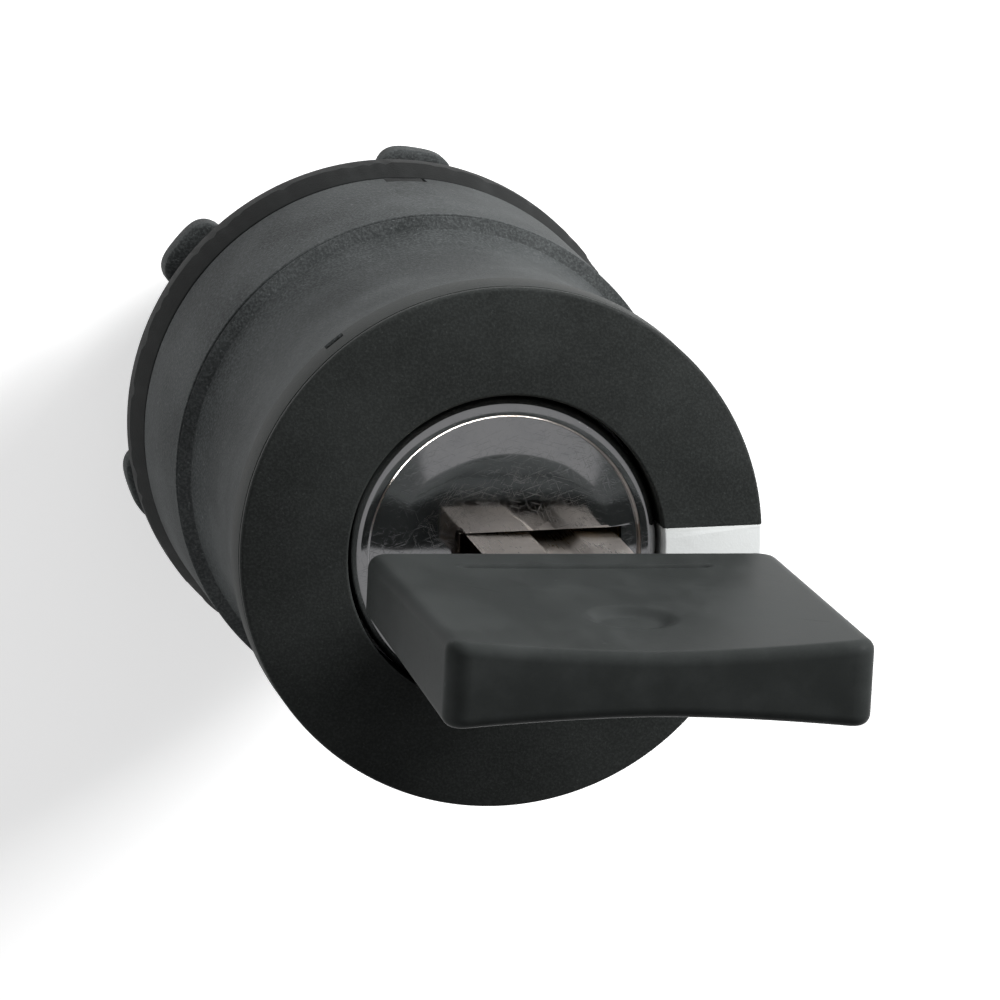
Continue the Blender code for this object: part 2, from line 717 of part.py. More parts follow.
def make_plug_cap():
    """Polished cap over the head of the plug, with a rounded rim and the key slot."""
    skirt_bottom = CAP_TOP - PLUG_CAP_T - PLUG_CAP_SKIRT_H
    skirt_r = PLUG_HEAD_R + GAP
    centre = (PLUG_CAP_R - PLUG_CAP_ROUND, CAP_TOP - PLUG_CAP_ROUND)
    profile = (
        [(0.0, CAP_TOP)]
        + arc(centre, PLUG_CAP_ROUND, 90.0, 0.0, 4)
        + [
            (PLUG_CAP_R, skirt_bottom),
            (skirt_r, skirt_bottom),
            (skirt_r, CAP_TOP - PLUG_CAP_T),
            (0.0, CAP_TOP - PLUG_CAP_T),
        ]
    )
    cap = turned("plug_cap", profile, POLISHED_CHROME, SHELL_FACETS, hollow=False)
    cut(cap, keyway_cutter("cap_slot", skirt_bottom, CAP_TOP + CUT_OVER))
    return cap


def make_plug_seal():
    """Round seal between the head of the plug and the lock housing."""
    middle_r = PLUG_R + GAP + SEAL_WIRE_R
    middle_z = (HOUSING_END + PLUG_HEAD_BOTTOM) / 2
    profile = arc((middle_r, middle_z), SEAL_WIRE_R, 90.0, -240.0, 11)
    return turned("plug_seal", profile, SEAL_RUBBER)


# ---- lock plug ----


def wafer_heights():
    return [WAFER_FIRST + i * WAFER_PITCH for i in range(WAFER_COUNT)]


def make_lock_plug():
    """Turning core of the lock, cut for the key, the wafers, the tail and its screw."""
    profile = [
        (0.0, PLUG_TOP),
        (PLUG_HEAD_R, PLUG_TOP),
        (PLUG_HEAD_R, PLUG_HEAD_BOTTOM),
        (PLUG_R, PLUG_HEAD_BOTTOM),
        (PLUG_R, PLUG_STEP),
        (PLUG_JOURNAL_R, PLUG_STEP),
        (PLUG_JOURNAL_R, PLUG_BOTTOM),
        (0.0, PLUG_BOTTOM),
    ]
    plug = turned("lock_plug", profile, BRASS, hollow=False)
    cut(plug, keyway_cutter("plug_keyway", KEYWAY_END, PLUG_TOP + CUT_OVER))
    half_w = WAFER_W / 2 + GAP
    half_t = WAFER_T / 2 + GAP
    reach = PLUG_R + CUT_OVER
    for i, height in enumerate(wafer_heights()):
        low = (-reach, -half_w, height - half_t)
        high = (reach, half_w, height + half_t)
        cut(plug, block(f"wafer_slot_{i + 1}", low, high))
    tenon = (TENON_L / 2 + GAP, TENON_W / 2 + GAP)
    tenon_top = TAIL_DISC_TOP + TENON_H + GAP
    low = (-tenon[0], -tenon[1], PLUG_BOTTOM - CUT_OVER)
    cut(plug, block("tenon_slot", low, (*tenon, tenon_top)))
    screw_end = PLUG_BOTTOM + SCREW_REACH + GAP
    cut(plug, rod("plug_screw_hole", SCREW_HOLE_R, PLUG_BOTTOM - CUT_OVER, screw_end))
    return plug


def make_wafers():
    """Flat wafers across the plug, each with a window that the key passes through."""
    window_high = KEYWAY_SHIFT + KEYWAY_W / 2
    half = WAFER_W / 2
    win = WAFER_WINDOW_W / 2
    reach = WAFER_HALF_L
    back = -WAFER_WINDOW_BACK
    outer = [(-reach, -half), (reach, -half), (reach, half), (-reach, half)]
    window = [(back, -win), (window_high, -win), (window_high, win), (back, win)]
    for i, height in enumerate(wafer_heights()):
        name = f"wafer_{i + 1}"
        wafer = place(flat_mesh(name, [outer, window], WAFER_T), name, BRASS)
        wafer.location.z = height


# ---- drive, cam and contacts ----


def make_drive_tail():
    """Coupling between the plug and the cam: disc, tenon above it, square tang below."""
    profile = rod_profile(TAIL_DISC_R, TAIL_DISC_BOTTOM, TAIL_DISC_TOP)
    tail = turned("drive_tail", profile, ZINC, hollow=False)
    half = TANG_SIDE / 2
    tang_bottom = CAM_BOTTOM + GAP
    low = (-half, -half, tang_bottom)
    join(tail, block("tang_shape", low, (half, half, TAIL_DISC_BOTTOM + SINK)))
    top = TAIL_DISC_TOP + TENON_H
    low = (-TENON_L / 2, -TENON_W / 2, TAIL_DISC_TOP - SINK)
    join(tail, block("tenon_shape", low, (TENON_L / 2, TENON_W / 2, top)))
    bore = rod("tail_bore", SCREW_HOLE_R, tang_bottom - CUT_OVER, top + CUT_OVER)
    cut(tail, bore)
    return tail


def ramp_mesh(name, start):
    """A ramp under the cam that falls by the plungers' travel over the switching turn.

    It is lofted through upright sections, then runs level past the plunger's head.
    """
    lead = radians(4.0)
    level = radians(26.0)
    steps = 9
    top = CAM_BOTTOM + SINK
    turns = [-lead + (SWITCH_TURN + lead) * i / steps for i in range(steps + 1)]
    sections = [(t, PLUNGER_TRAVEL * t / SWITCH_TURN) for t in turns]
    sections += [(SWITCH_TURN + level * i / 2, PLUNGER_TRAVEL) for i in (1, 2)]
    mesh = bpy.data.meshes.new(name)
    bm = bmesh.new()
    loops = []
    for turn, drop in sections:
        c, s = cos(start + turn), sin(start + turn)
        low = CAM_BOTTOM - drop
        corners = [(RAMP_OUT_R, top), (RAMP_OUT_R, low), (RAMP_IN_R, low), (RAMP_IN_R, top)]
        loops.append([bm.verts.new((r * c, r * s, z)) for r, z in corners])
    for one, two in zip(loops, loops[1:]):
        for k in range(4):
            bm.faces.new((one[k], one[(k + 1) % 4], two[(k + 1) % 4], two[k]))
    bm.faces.new(loops[0])
    bm.faces.new(loops[-1])
    bmesh.ops.recalc_face_normals(bm, faces=bm.faces)
    bm.to_mesh(mesh)
    bm.free()
    return mesh


def make_cam():
    """Switching cam: notched disc for the detents, two ramps below for the plungers."""
    profile = [
        (0.0, CAM_TOP + CAM_HUB_H),
        (CAM_HUB_R, CAM_TOP + CAM_HUB_H),
        (CAM_HUB_R, CAM_TOP),
        (CAM_R, CAM_TOP),
        (CAM_R, CAM_BOTTOM),
        (0.0, CAM_BOTTOM),
    ]
    cam = turned("switching_cam", profile, CAM_PLASTIC, hollow=False)
    for side, start in (("right", 0.0), ("left", pi)):
        name = f"ramp_{side}"
        join(cam, place(ramp_mesh(name, start), name, None, cutter=True))
    half = TANG_SIDE / 2 + GAP
    low = (-half, -half, CAM_BOTTOM - CUT_OVER)
    cut(cam, block("tang_hole", low, (half, half, TAIL_DISC_BOTTOM)))
    notch_r = BALL_R + GAP
    middle = CAM_R - NOTCH_DEPTH + notch_r
    for ball in BALL_ANGLES:
        for angle in (ball, ball + SWITCH_TURN):
            at = (middle * cos(angle), middle * sin(angle))
            name = f"notch_{round(angle * 180 / pi)}"
            low, high = CAM_BOTTOM - CUT_OVER, CAM_TOP + CUT_OVER
            cut(cam, rod(name, notch_r, low, high, facets=12, at=at))
    return cam


def make_tail_screw():
    """Screw up through cam and tail into the plug, with a cross recess in its head."""
    low = SCREW_HEAD_TOP - SCREW_HEAD_H
    top = PLUG_BOTTOM + SCREW_REACH
    profile = [
        (0.0, top),
        (SCREW_SHANK_R, top),
        (SCREW_SHANK_R, SCREW_HEAD_TOP),
        (SCREW_HEAD_R, SCREW_HEAD_TOP),
        (SCREW_HEAD_R, low),
        (0.0, low),
    ]
    screw = turned("tail_screw", profile, STEEL, SMALL_FACETS, hollow=False)
    arm, width = SCREW_HEAD_R * SCREW_RECESS_SHARE, SCREW_RECESS_W / 2
    for name, x, y in (("recess_x", arm, width), ("recess_y", width, arm)):
        cut(screw, block(name, (-x, -y, low - CUT_OVER), (x, y, low + SCREW_RECESS_DEPTH)))
    return screw


def make_cam_washer():
    low = SCREW_HEAD_TOP + GAP
    profile = ring_profile(CAM_WASHER_R, SCREW_HOLE_R, low, low + CAM_WASHER_T)
    return turned("cam_washer", profile, STEEL, SMALL_FACETS)


def make_plungers():
    """Two plungers under the ramps, each with a pointed head and a return spring."""
    shoulder = PLUNGER_TIP - (PLUNGER_HEAD_R - PLUNGER_TIP_R)
    profile = [
        (0.0, PLUNGER_TIP),
        (PLUNGER_TIP_R, PLUNGER_TIP),
        (PLUNGER_HEAD_R, shoulder),
        (PLUNGER_HEAD_R, PLUNGER_HEAD_BOTTOM),
        (PLUNGER_STEM_R, PLUNGER_HEAD_BOTTOM),
        (PLUNGER_STEM_R, COVER_END + PLUNGER_INSET),
        (0.0, COVER_END + PLUNGER_INSET),
    ]
    for side, x in (("left", -PLUNGER_RADIUS), ("right", PLUNGER_RADIUS)):
        material = CAM_PLASTIC
        plunger = turned(f"plunger_{side}", profile, material, SMALL_FACETS, hollow=False)
        plunger.location.x = x
        coil(
            f"plunger_spring_{side}",
            PLUNGER_SPRING_R,
            SPRING_WIRE_R,
            COVER_TOP + GAP,
            PLUNGER_HEAD_BOTTOM - GAP,
            PLUNGER_SPRING_TURNS,
            STEEL,
            Matrix.Translation((x, 0.0, 0.0)),
        )


# ---- detent ----


def make_detent_ring():
    """Fixed ring round the cam, with a radial bore for each ball and its spring."""
    profile = ring_profile(DETENT_R, DETENT_BORE_R, DETENT_BOTTOM, DETENT_TOP)
    ring = turned("detent_ring", profile, CAM_PLASTIC)
    for angle in BALL_ANGLES:
        name = f"ball_bore_{round(angle * 180 / pi)}"
        bore = rod(name, BALL_R + GAP, -CUT_OVER, DETENT_R - DETENT_BORE_R + CUT_OVER)
        bore.matrix_world = radial_frame(angle, DETENT_BORE_R, BALL_Z)
        cut(ring, bore)
    return ring


def make_detents():
    """Ball and spring for each bore of the detent ring."""
    for number, angle in enumerate(BALL_ANGLES, start=1):
        mesh = bpy.data.meshes.new(f"detent_ball_{number}")
        bm = bmesh.new()
        bmesh.ops.create_uvsphere(bm, u_segments=12, v_segments=8, radius=BALL_R)
        bm.to_mesh(mesh)
        bm.free()
        mesh.shade_smooth()
        ball = place(mesh, f"detent_ball_{number}", STEEL)
        ball.matrix_world = radial_frame(angle, BALL_RADIUS, BALL_Z)
        low = BALL_RADIUS + BALL_R + GAP / 2
        coil(
            f"detent_spring_{number}",
            DETENT_SPRING_R,
            SPRING_WIRE_R,
            low,
            DETENT_R - GAP / 2,
            DETENT_SPRING_TURNS,
            STEEL,
            radial_frame(angle, 0.0, BALL_Z),
        )


# ---- key ----


def blade_outline():
    """Blade seen from its flat side, as (x, distance from the tip), cut along +X."""
    left = KEYWAY_SHIFT - BLADE_W / 2
    right = KEYWAY_SHIFT + BLADE_W / 2
    tang_left = BOW_SHIFT - BLADE_TANG_W / 2
    tang_right = BOW_SHIFT + BLADE_TANG_W / 2
    end = BLADE_LENGTH + BLADE_TANG_L
    points = [(left + BLADE_TIP_CHAMFER, 0.0), (right - BLADE_TIP_CHAMFER, 0.0)]
    points.append((right, BLADE_TIP_CHAMFER))
    for height, depth in zip(wafer_heights(), BLADE_CUTS):
        middle = height - KEY_TIP
        flat = BLADE_CUT_FLAT / 2
        wide = flat + depth * BLADE_CUT_SLOPE
        points += [
            (right, middle - wide),
            (right - depth, middle - flat),
            (right - depth, middle + flat),
            (right, middle + wide),
        ]
    points += [(right, BLADE_LENGTH - GAP), (tang_right, BLADE_LENGTH - GAP)]
    points += [(tang_right, end), (tang_left, end)]
    points += [(tang_left, BLADE_LENGTH - GAP), (left, BLADE_LENGTH - GAP)]
    points.append((left, BLADE_TIP_CHAMFER))
    return points


def upright(obj, low):
    """Stand a flat outline up: its Y runs along the switch axis, its thickness along Y."""
    stand = Matrix.Rotation(pi / 2, 4, "X")
    obj.matrix_world = Matrix.Translation((0.0, 0.0, low)) @ stand


def make_key_blade():
    """Key blade, with a long groove in each flat side and the tang that the bow holds."""
    mesh = flat_mesh("key_blade", [blade_outline()], BLADE_T)
    blade = place(mesh, "key_blade", NICKEL)
    upright(blade, KEY_TIP)
    floor = BLADE_T / 2 - BLADE_GROOVE_DEPTH
    top = KEY_TIP + BLADE_LENGTH - BLADE_GROOVE_STOP
    upper_x = KEYWAY_SHIFT + BLADE_UPPER_GROOVE_X
    for name, side, x in (("upper", 1, upper_x), ("lower", -1, KEYWAY_SHIFT)):
        near, far = sorted((side * floor, side * (BLADE_T / 2 + CUT_OVER)))
        low = (x - BLADE_GROOVE_W / 2, near, KEY_TIP - CUT_OVER)
        groove = block(f"{name}_groove", low, (x + BLADE_GROOVE_W / 2, far, top))
        cut(blade, groove)
    return blade


def rounded_rectangle(centre, width, length, corner, steps=4):
    half_w, half_l = width / 2 - corner, length / 2 - corner
    points = []
    for sx, sy, start in ((1, 1, 0.0), (-1, 1, 90.0), (-1, -1, 180.0), (1, -1, 270.0)):
        middle = (centre[0] + sx * half_w, centre[1] + sy * half_l)
        points += arc(middle, corner, start, start + 90.0, steps)
    return points


def bow_half(across, along):
    """Half the bow's thickness, flat at its back and dished towards its front.

    across runs from -1 to 1 over the width, along from 0 at the back to 1 at the front.
    """
    front = BOW_MIDDLE_T + (BOW_T - BOW_MIDDLE_T) * across**2
    return (BOW_BACK_T + (front - BOW_BACK_T) * along) / 2


def bow_form(columns=12, rows=4):
    """The bow's two dished faces as one closed block, wider and longer than the bow."""
    mesh = bpy.data.meshes.new("bow_form")
    bm = bmesh.new()
    half_w = BOW_W / 2 + CUT_OVER
    low, high = BOW_BACK - CUT_OVER, BOW_FRONT + CUT_OVER
    rings = []
    for j in range(rows + 1):
        height = low + (high - low) * j / rows
        xs = [half_w * (2 * i / columns - 1) for i in range(columns + 1)]
        halves = [bow_half(x / (BOW_W / 2), (height - BOW_BACK) / BOW_L) for x in xs]
        front = [bm.verts.new((BOW_SHIFT + x, -t, height)) for x, t in zip(xs, halves)]
        rear = [bm.verts.new((BOW_SHIFT + x, t, height)) for x, t in zip(xs, halves)]
        rings.append(front + rear[::-1])
    count = len(rings[0])
    for one, two in zip(rings, rings[1:]):
        for k in range(count):
            nxt = (k + 1) % count
            bm.faces.new((one[k], one[nxt], two[nxt], two[k]))
    for ring in (rings[0], rings[-1]):
        for i in range(columns):
            bm.faces.new((ring[i], ring[i + 1], ring[count - 2 - i], ring[count - 1 - i]))
    bmesh.ops.recalc_face_normals(bm, faces=bm.faces)
    bm.to_mesh(mesh)
    bm.free()
    return place(mesh, "bow_form", None, cutter=True)


def make_key_bow():
    """Plastic grip moulded on the blade: dished faces, a dimple and a line above."""
    outline = rounded_rectangle((BOW_SHIFT, BOW_L / 2), BOW_W, BOW_L, BOW_CORNER)
    mesh = flat_mesh("key_bow", [outline], BOW_T + CUT_OVER)
    bow = place(mesh, "key_bow", KEY_PLASTIC)
    upright(bow, BOW_BACK)
    cut(bow, bow_form(), "INTERSECT")
    edge = bow.modifiers.new("edges", "BEVEL")
    edge.width = BOW_EDGE
    edge.segments = 2
    edge.limit_method = "ANGLE"
    edge.angle_limit = radians(50.0)
    half_w = BLADE_TANG_W / 2 + GAP
    half_t = BLADE_T / 2 + GAP
    pocket = block(
        "tang_pocket",
        (BOW_SHIFT - half_w, -half_t, BOW_BACK - CUT_OVER),
        (BOW_SHIFT + half_w, half_t, BOW_BACK + BLADE_TANG_L + GAP),
    )
    cut(bow, pocket)
    surface = BOW_BACK_T / 2
    dimple = rod("dimple", DIMPLE_R, -DIMPLE_DEPTH, CUT_OVER)
    at = (BOW_SHIFT, surface, BOW_FRONT - DIMPLE_FROM_FRONT)
    dimple.matrix_world = Matrix.Translation(at) @ Matrix.Rotation(-pi / 2, 4, "X")
    cut(bow, dimple)
    line_z = BOW_BACK + BOW_LINE_FROM_BACK
    line = block(
        "bow_line",
        (BOW_SHIFT - BOW_LINE_L / 2, surface - 0.2 * MM, line_z - BOW_LINE_W / 2),
        (BOW_SHIFT + BOW_LINE_L / 2, surface + CUT_OVER, line_z + BOW_LINE_W / 2),
    )
    cut(bow, line)
    return bow


def main():
    make_base()
    make_gasket()
    make_nut_washer()
    make_fixing_nut()
    make_rear_cover()
    make_collar()
    make_lock_housing()
    make_housing_nut()
    make_face_cap()
    make_index_mark()
    make_plug_cap()
    make_plug_seal()
    make_lock_plug()
    make_wafers()
    make_drive_tail()
    make_cam()
    make_tail_screw()
    make_cam_washer()
    make_plungers()
    make_detent_ring()
    make_detents()
    make_key_blade()
    make_key_bow()


main()
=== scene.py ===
"""Looks for a key-operated selector head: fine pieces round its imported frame, and their finishes.

Metres, in the frame's own axes: +Z along the switch towards the key, +X to the pointer at rest.
"""

import json
import logging
import math
from dataclasses import dataclass
from enum import Enum
from typing import Any, Callable, Optional, Sequence, Union

import bmesh
import bpy
from mathutils import Matrix, Vector


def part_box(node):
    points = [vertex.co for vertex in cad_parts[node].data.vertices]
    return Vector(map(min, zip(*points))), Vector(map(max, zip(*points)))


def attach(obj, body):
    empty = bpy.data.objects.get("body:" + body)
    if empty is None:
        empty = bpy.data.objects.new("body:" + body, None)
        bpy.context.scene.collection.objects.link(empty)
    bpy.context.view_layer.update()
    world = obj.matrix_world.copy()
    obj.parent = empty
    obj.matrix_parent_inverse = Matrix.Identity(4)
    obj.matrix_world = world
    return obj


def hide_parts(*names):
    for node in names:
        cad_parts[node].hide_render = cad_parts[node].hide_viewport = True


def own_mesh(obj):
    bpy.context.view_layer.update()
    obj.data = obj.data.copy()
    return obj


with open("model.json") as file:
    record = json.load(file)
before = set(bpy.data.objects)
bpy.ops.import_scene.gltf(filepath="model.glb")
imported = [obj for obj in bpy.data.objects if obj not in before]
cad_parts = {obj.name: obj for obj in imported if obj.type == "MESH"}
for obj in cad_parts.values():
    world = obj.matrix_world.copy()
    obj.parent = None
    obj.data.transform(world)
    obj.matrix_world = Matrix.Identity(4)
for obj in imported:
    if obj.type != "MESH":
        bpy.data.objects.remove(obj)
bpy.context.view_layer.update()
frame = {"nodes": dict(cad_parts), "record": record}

log = logging.getLogger("selector_head")

MM = 0.001
GAP = 0.3 * MM
FINE = 288  # facets round a large turned piece

Point = tuple[float, float]
Corner = tuple[float, float, float]
Shape = Callable[[float, float, float], float]


class Slot(Enum):
    """Material slots of the record."""

    BLACK = "black_plastic"
    FACE = "face_plastic"
    KEY = "key_plastic"
    RUBBER = "seal_rubber"
    MARK = "mark_white"
    CHROME = "polished_chrome"
    NICKEL = "nickel"
    ZINC = "cast_zinc"
    BRASS = "brass"
    STEEL = "spring_steel"
    CAM = "cam_plastic"


class Body(Enum):
    """Moving bodies of the frame."""

    HEAD = "head"
    ROTOR = "rotor"
    KEY = "key"
    WASHER = "washer"
    NUT = "nut"


Finishes = dict[Slot, bpy.types.Material]


# ---- shader building ----


class Field:
    """A number that varies over a surface, held as a socket, with the usual operators."""

    def __init__(self, recipe: "Recipe", socket: bpy.types.NodeSocket) -> None:
        """Wrap one output socket of a recipe's tree."""
        self.recipe = recipe
        self.socket = socket

    def _math(self, operation: str, first: "Number", second: "Number") -> "Field":
        """Add one Math node.

        Args:
            operation: The Math node's operation.
            first: Value of its first socket.
            second: Value of its second socket.

        Returns:
            The node's result.
        """
        node = self.recipe.node("ShaderNodeMath", {"operation": operation}, {0: first, 1: second})
        return Field(self.recipe, node.outputs[0])

    def __add__(self, other: "Number") -> "Field":
        """Return self + other."""
        return self._math("ADD", self, other)

    __radd__ = __add__

    def __sub__(self, other: "Number") -> "Field":
        """Return self - other."""
        return self._math("SUBTRACT", self, other)

    def __rsub__(self, other: "Number") -> "Field":
        """Return other - self."""
        return self._math("SUBTRACT", other, self)

    def __mul__(self, other: "Number") -> "Field":
        """Return self * other."""
        return self._math("MULTIPLY", self, other)

    __rmul__ = __mul__

    def __abs__(self) -> "Field":
        """Return the absolute value."""
        return self._math("ABSOLUTE", self, 0.0)

    def lowest(self, other: "Number") -> "Field":
        """Return the smaller of the two."""
        return self._math("MINIMUM", self, other)

    def between(self, low: float, high: float) -> "Field":
        """Return 0 at low and 1 at high, smooth and clamped.

        Args:
            low: Value that gives 0.
            high: Value that gives 1.

        Returns:
            The eased share.
        """
        settings = {"interpolation_type": "SMOOTHSTEP"}
        inputs = {0: self, 1: low, 2: high}
        node = self.recipe.node("ShaderNodeMapRange", settings, inputs)
        return Field(self.recipe, node.outputs[0])


class Tint:
    """A colour socket. Colours mix only through Mix nodes."""

    def __init__(self, recipe: "Recipe", socket: bpy.types.NodeSocket) -> None:
        """Wrap one colour output."""
        self.recipe = recipe
        self.socket = socket


class Place:
    """A vector socket that says where a texture is read."""

    def __init__(self, recipe: "Recipe", socket: bpy.types.NodeSocket) -> None:
        """Wrap one vector output."""
        self.recipe = recipe
        self.socket = socket

    def stretched(self, x: float, y: float, z: float) -> "Place":
        """Return the place with its axes scaled by three factors.

        Args:
            x: Factor along X.
            y: Factor along Y.
            z: Factor along Z.

        Returns:
            The stretched place.
        """
        node = self.recipe.node(
            "ShaderNodeVectorMath", {"operation": "MULTIPLY"}, {0: self, 1: (x, y, z)}
        )
        return Place(self.recipe, node.outputs[0])

    def turned(self, angle: float, axis: str = "Z_AXIS") -> "Place":
        """Return the place turned about an axis through the origin.

        Args:
            angle: Turn in radians.
            axis: Rotation type of the Vector Rotate node.

        Returns:
            The turned place.
        """
        settings = {"rotation_type": axis}
        inputs = {"Vector": self, "Angle": angle}
        node = self.recipe.node("ShaderNodeVectorRotate", settings, inputs)
        return Place(self.recipe, node.outputs[0])

    def parts(self) -> tuple[Field, Field, Field]:
        """Return x, y and z as three fields.

        Returns:
            The x, y and z fields.
        """
        node = self.recipe.node("ShaderNodeSeparateXYZ", None, {0: self})
        x, y, z = (Field(self.recipe, out) for out in node.outputs)
        return x, y, z


Number = Union[Field, float]
Colour = tuple[float, float, float]
Feed = Union[Field, Tint, Place, float, Sequence[float]]


class Recipe:
    """One material being built on a Principled shader."""

    def __init__(self, name: str) -> None:
        """Start an empty material of that name.

        Args:
            name: The material's name.
        """
        self.material = bpy.data.materials.new(name)
        self.material.use_nodes = True
        self.tree = self.material.node_tree
        self.shader = self.tree.nodes["Principled BSDF"]

    def node(
        self,
        kind: str,
        settings: Optional[dict[str, Any]] = None,
        inputs: Optional[dict[Union[str, int], Feed]] = None,
    ) -> bpy.types.Node:
        """Add any node.

        Args:
            kind: The node's type.
            settings: Its properties; "stops" are a ramp's (position, grey) pairs.
            inputs: Values or links by socket name or number.

        Returns:
            The node.
        """
        made = self.tree.nodes.new(kind)
        for key, value in (settings or {}).items():
            if key == "stops":
                self._set_stops(made, value)
            else:
                setattr(made, key, value)
        for key, value in (inputs or {}).items():
            self.feed(made.inputs[key], value)
        return made

    @staticmethod
    def _set_stops(ramp: bpy.types.Node, stops: Sequence[Point]) -> None:
        """Give a colour ramp its grey stops.

        Args:
            ramp: The ramp node.
            stops: (position, grey) pairs.
        """
        elements = ramp.color_ramp.elements
        while len(elements) < len(stops):
            elements.new(1.0)
        for element, (position, grey) in zip(elements, stops):
            element.position = position
            element.color = (grey, grey, grey, 1.0)

    def feed(self, socket: bpy.types.NodeSocket, value: Feed) -> None:
        """Link a wrapped socket to an input, or set the input's own value.

        Args:
            socket: The input.
            value: A wrapped socket, a number or a list of numbers.
        """
        if isinstance(value, (Field, Tint, Place)):
            self.tree.links.new(value.socket, socket)
        else:
            socket.default_value = value

    def place(self) -> Place:
        """Return the piece's own coordinates, in metres."""
        return Place(self, self.node("ShaderNodeTexCoord").outputs["Object"])

    def noise(self, place: Place, scale: float, detail: float = 2.0, rough: float = 0.55) -> Field:
        """Return smooth noise.

        Args:
            place: Where it is read.
            scale: Waves per metre.
            detail: Number of finer layers.
            rough: Strength of the finer layers.

        Returns:
            Noise between 0 and 1.
        """
        inputs = {"Vector": place, "Scale": scale, "Detail": detail, "Roughness": rough}
        return Field(self, self.node("ShaderNodeTexNoise", None, inputs).outputs[0])

    def cells(self, place: Place, scale: float) -> Field:
        """Return the distance to the nearest of scattered points, in cells."""
        inputs = {"Vector": place, "Scale": scale}
        return Field(self, self.node("ShaderNodeTexVoronoi", None, inputs).outputs["Distance"])

    def scratches(self, place: Place, angle: float, scale: float, keep: float) -> Field:
        """Return thin straight hairlines along one direction in the XY plane.

        Args:
            place: Where they are read.
            angle: Direction of the lines.
            scale: Lines per metre across them.
            keep: Share of the noise above which a line shows.

        Returns:
            1 on a line and 0 beside it.
        """
        along = place.turned(angle).stretched(0.035, 1.0, 0.4)
        return self.noise(along, scale, 1.0, 0.5).between(keep, keep + 0.035)

    def mix(self, share: Number, first: Union[Tint, Colour], second: Union[Tint, Colour]) -> Tint:
        """Mix two colours.

        Args:
            share: 0 for the first, 1 for the second.
            first: A colour or a tint.
            second: A colour or a tint.

        Returns:
            The mixed tint.
        """
        ends = [c if isinstance(c, Tint) else (*c, 1.0) for c in (first, second)]
        settings = {"data_type": "RGBA"}
        made = self.node("ShaderNodeMix", settings, {0: share, 6: ends[0], 7: ends[1]})
        return Tint(self, made.outputs[2])

    def finish(
        self,
        colour: Union[Tint, Colour],
        roughness: Number,
        height: Optional[Field] = None,
        relief: float = 0.0,
        metallic: Number = 0.0,
        **constants: Feed,
    ) -> bpy.types.Material:
        """Connect the shader.

        Args:
            colour: Base colour.
            roughness: Roughness.
            height: Surface height between 0 and 1.
            relief: Height of 1, in metres.
            metallic: Metallic value.
            **constants: Other sockets, with underscores for spaces, such as Coat_Weight.

        Returns:
            The material.
        """
        inputs = self.shader.inputs
        self.feed(inputs["Base Color"], colour if isinstance(colour, Tint) else (*colour, 1.0))
        self.feed(inputs["Roughness"], roughness)
        self.feed(inputs["Metallic"], metallic)
        for name, value in constants.items():
            self.feed(inputs[name.replace("_", " ")], value)
        if height is not None:
            bump = self.node("ShaderNodeBump", None, {"Height": height, "Distance": relief})
            self.tree.links.new(bump.outputs[0], inputs["Normal"])
        return self.material


# ---- finishes ----


@dataclass(frozen=True)
class GrainedPlastic:
    """Moulded plastic with the fine grain of a spark-eroded mould."""

    name: str
    dark: Colour
    light: Colour
    roughness: float = 0.5
    grain: float = 0.11 * MM
    relief: float = 0.012 * MM
    specks: float = 0.5
    specular: float = 0.5
    cloud: float = 6 * MM

    def make(self) -> bpy.types.Material:
        """Return the material.

        Returns:
            The material.
        """
        r = Recipe(self.name)
        place = r.place()
        grain = r.noise(place, 1 / self.grain, 2.0, 0.6)
        clouds = r.noise(place, 1 / self.cloud, 3.0, 0.55)
        speck = r.noise(place, 0.8 / self.grain, 1.0, 0.5).between(0.66, 0.78)
        share = grain.between(0.35, 0.75) * 0.45 + clouds.between(0.3, 0.7) * 0.3
        share = (share + speck * self.specks).lowest(1.0)
        rough = self.roughness + (grain - 0.5) * 0.16 + (clouds - 0.5) * 0.1
        colour = r.mix(share, self.dark, self.light)
        return r.finish(colour, rough, grain, self.relief, Specular_IOR_Level=self.specular)


@dataclass(frozen=True)
class HandledPlastic:
    """Smooth black plastic, polished by fingers, with faint smears and a few dust nicks."""

    name: str
    dark: Colour
    light: Colour
    roughness: float = 0.42
    specular: float = 0.5
    smear: float = 3.2 * MM
    grain: float = 0.09 * MM
    nick: float = 2.6 * MM
    relief: float = 0.006 * MM

    def make(self) -> bpy.types.Material:
        """Return the material.

        Returns:
            The material.
        """
        r = Recipe(self.name)
        place = r.place()
        smear = r.noise(place.stretched(1.0, 1.0, 0.5), 1 / self.smear, 4.0, 0.6)
        fine = r.noise(place, 1 / self.grain, 2.0, 0.6)
        nick = 1 - r.cells(place, 1 / self.nick).between(0.025, 0.06)
        scuff = r.scratches(place.turned(0.5 * math.pi, "X_AXIS"), 0.7, 5200.0, 0.7)
        share = (smear.between(0.35, 0.75) * 0.5 + fine * 0.2 + nick * 0.5).lowest(1.0)
        rough = self.roughness + (smear - 0.5) * 0.22 + (fine - 0.5) * 0.08 + scuff * 0.06
        height = fine * 0.5 + smear * 0.5 - nick * 0.6
        colour = r.mix(share, self.dark, self.light)
        return r.finish(colour, rough, height, self.relief, Specular_IOR_Level=self.specular)


